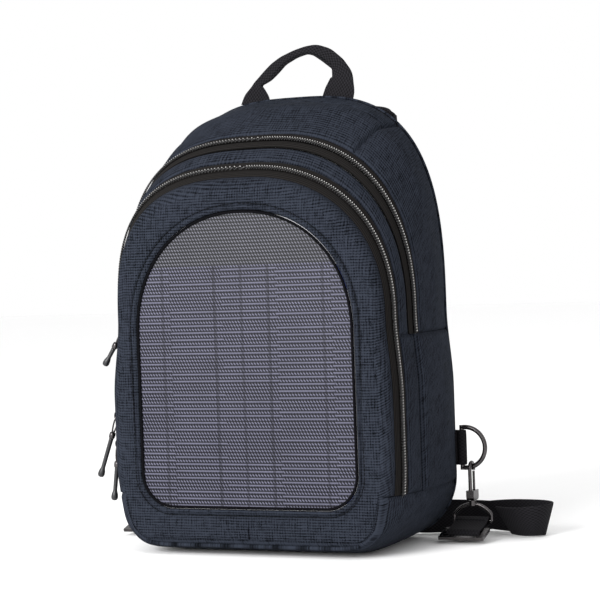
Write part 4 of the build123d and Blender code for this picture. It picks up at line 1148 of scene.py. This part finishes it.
# ---------------------------------------------------------------------------
# Lower hardware: tabs sewn in the side seams, D-rings, snap hooks with wire
# gates, swivel bows, and webbing loops with slide buckles; cast zinc and wire.
# ---------------------------------------------------------------------------
RING_OUT, HOOK_OUT = 0.1186, 0.1251
for side, word in ((1, "right"), (-1, "left")):
    # tab: webbing led out of the seam, round the ring's bar and back
    a = np.linspace(-np.pi * 0.86, np.pi * 0.86, 30)
    fold = np.concatenate([[(0.1108, 0.0480)], [(0.1142, 0.0479)],
                           np.stack([RING_OUT + 0.0027 * np.cos(a), 0.050 + 0.0027 * np.sin(a)], -1),
                           [(0.1142, 0.0521)], [(0.1108, 0.0520)]])
    path = np.stack([side * fold[:, 0], fold[:, 1], np.full(len(fold), 0.065)], -1)
    tab = ribbon("ring_tab_webbing_" + word, path, np.tile([0, 0, 1.0], (len(fold), 1)), 0.0124, 0.0007)
    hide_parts("ring_tab_" + word)
    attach(tab, "bag")
    tack = np.array([(side * 0.1146, 0.0470, z) for z in np.linspace(0.0545, 0.0755, 12)])
    stitches("ring_tab_tack_" + word, tack, np.tile([0, -1.0, 0], (12, 1)), "bag", length=0.0024)
    for part in ("d_ring_", "snap_hook_", "hook_gate_", "swivel_bow_", "slide_buckle_"):
        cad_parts[part + word].data.materials[0] = gunmetal
    # webbing loop round the bow's bar and the buckle's middle bar, two plies nearly touching in the middle
    near, far = np.array([0.028, 0.0062]), np.array([0.050, 0.0125])
    along = (far - near) / np.linalg.norm(far - near)
    over = np.array([-along[1], along[0]])
    t = np.linspace(0, 1, 26)[:, None]
    waist = 0.0024 - 0.0009 * np.sin(np.pi * t)
    top_ply = near + (far - near) * t + over * waist
    low_ply = (near + (far - near) * t - over * waist)[::-1]
    a = np.linspace(0, np.pi, 14)[1:-1, None]
    far_turn = far + along * 0.0024 * np.sin(a) + over * 0.0024 * np.cos(a)
    near_turn = near - along * 0.0024 * np.sin(a) - over * 0.0024 * np.cos(a)
    loop = np.concatenate([top_ply, far_turn, low_ply, near_turn, top_ply[:1] + (near - far) * 0.001])
    path = np.stack([np.full(len(loop), side * HOOK_OUT), loop[:, 0], loop[:, 1]], -1)
    strap_loop = ribbon("strap_loop_webbing_" + word, path, np.tile([1.0, 0, 0], (len(loop), 1)), 0.0122,
                        0.0007)
    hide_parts("strap_loop_" + word)
    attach(strap_loop, "strap_loop_" + word)
    spot = top_ply[20] + over * 0.0008
    tack = np.array([(side * HOOK_OUT + x, spot[0], spot[1]) for x in np.linspace(-0.0112, 0.0112, 12)])
    stitches("strap_loop_tack_" + word, tack, np.tile([0, over[0], over[1]], (12, 1)), "strap_loop_" + word,
             length=0.0024)
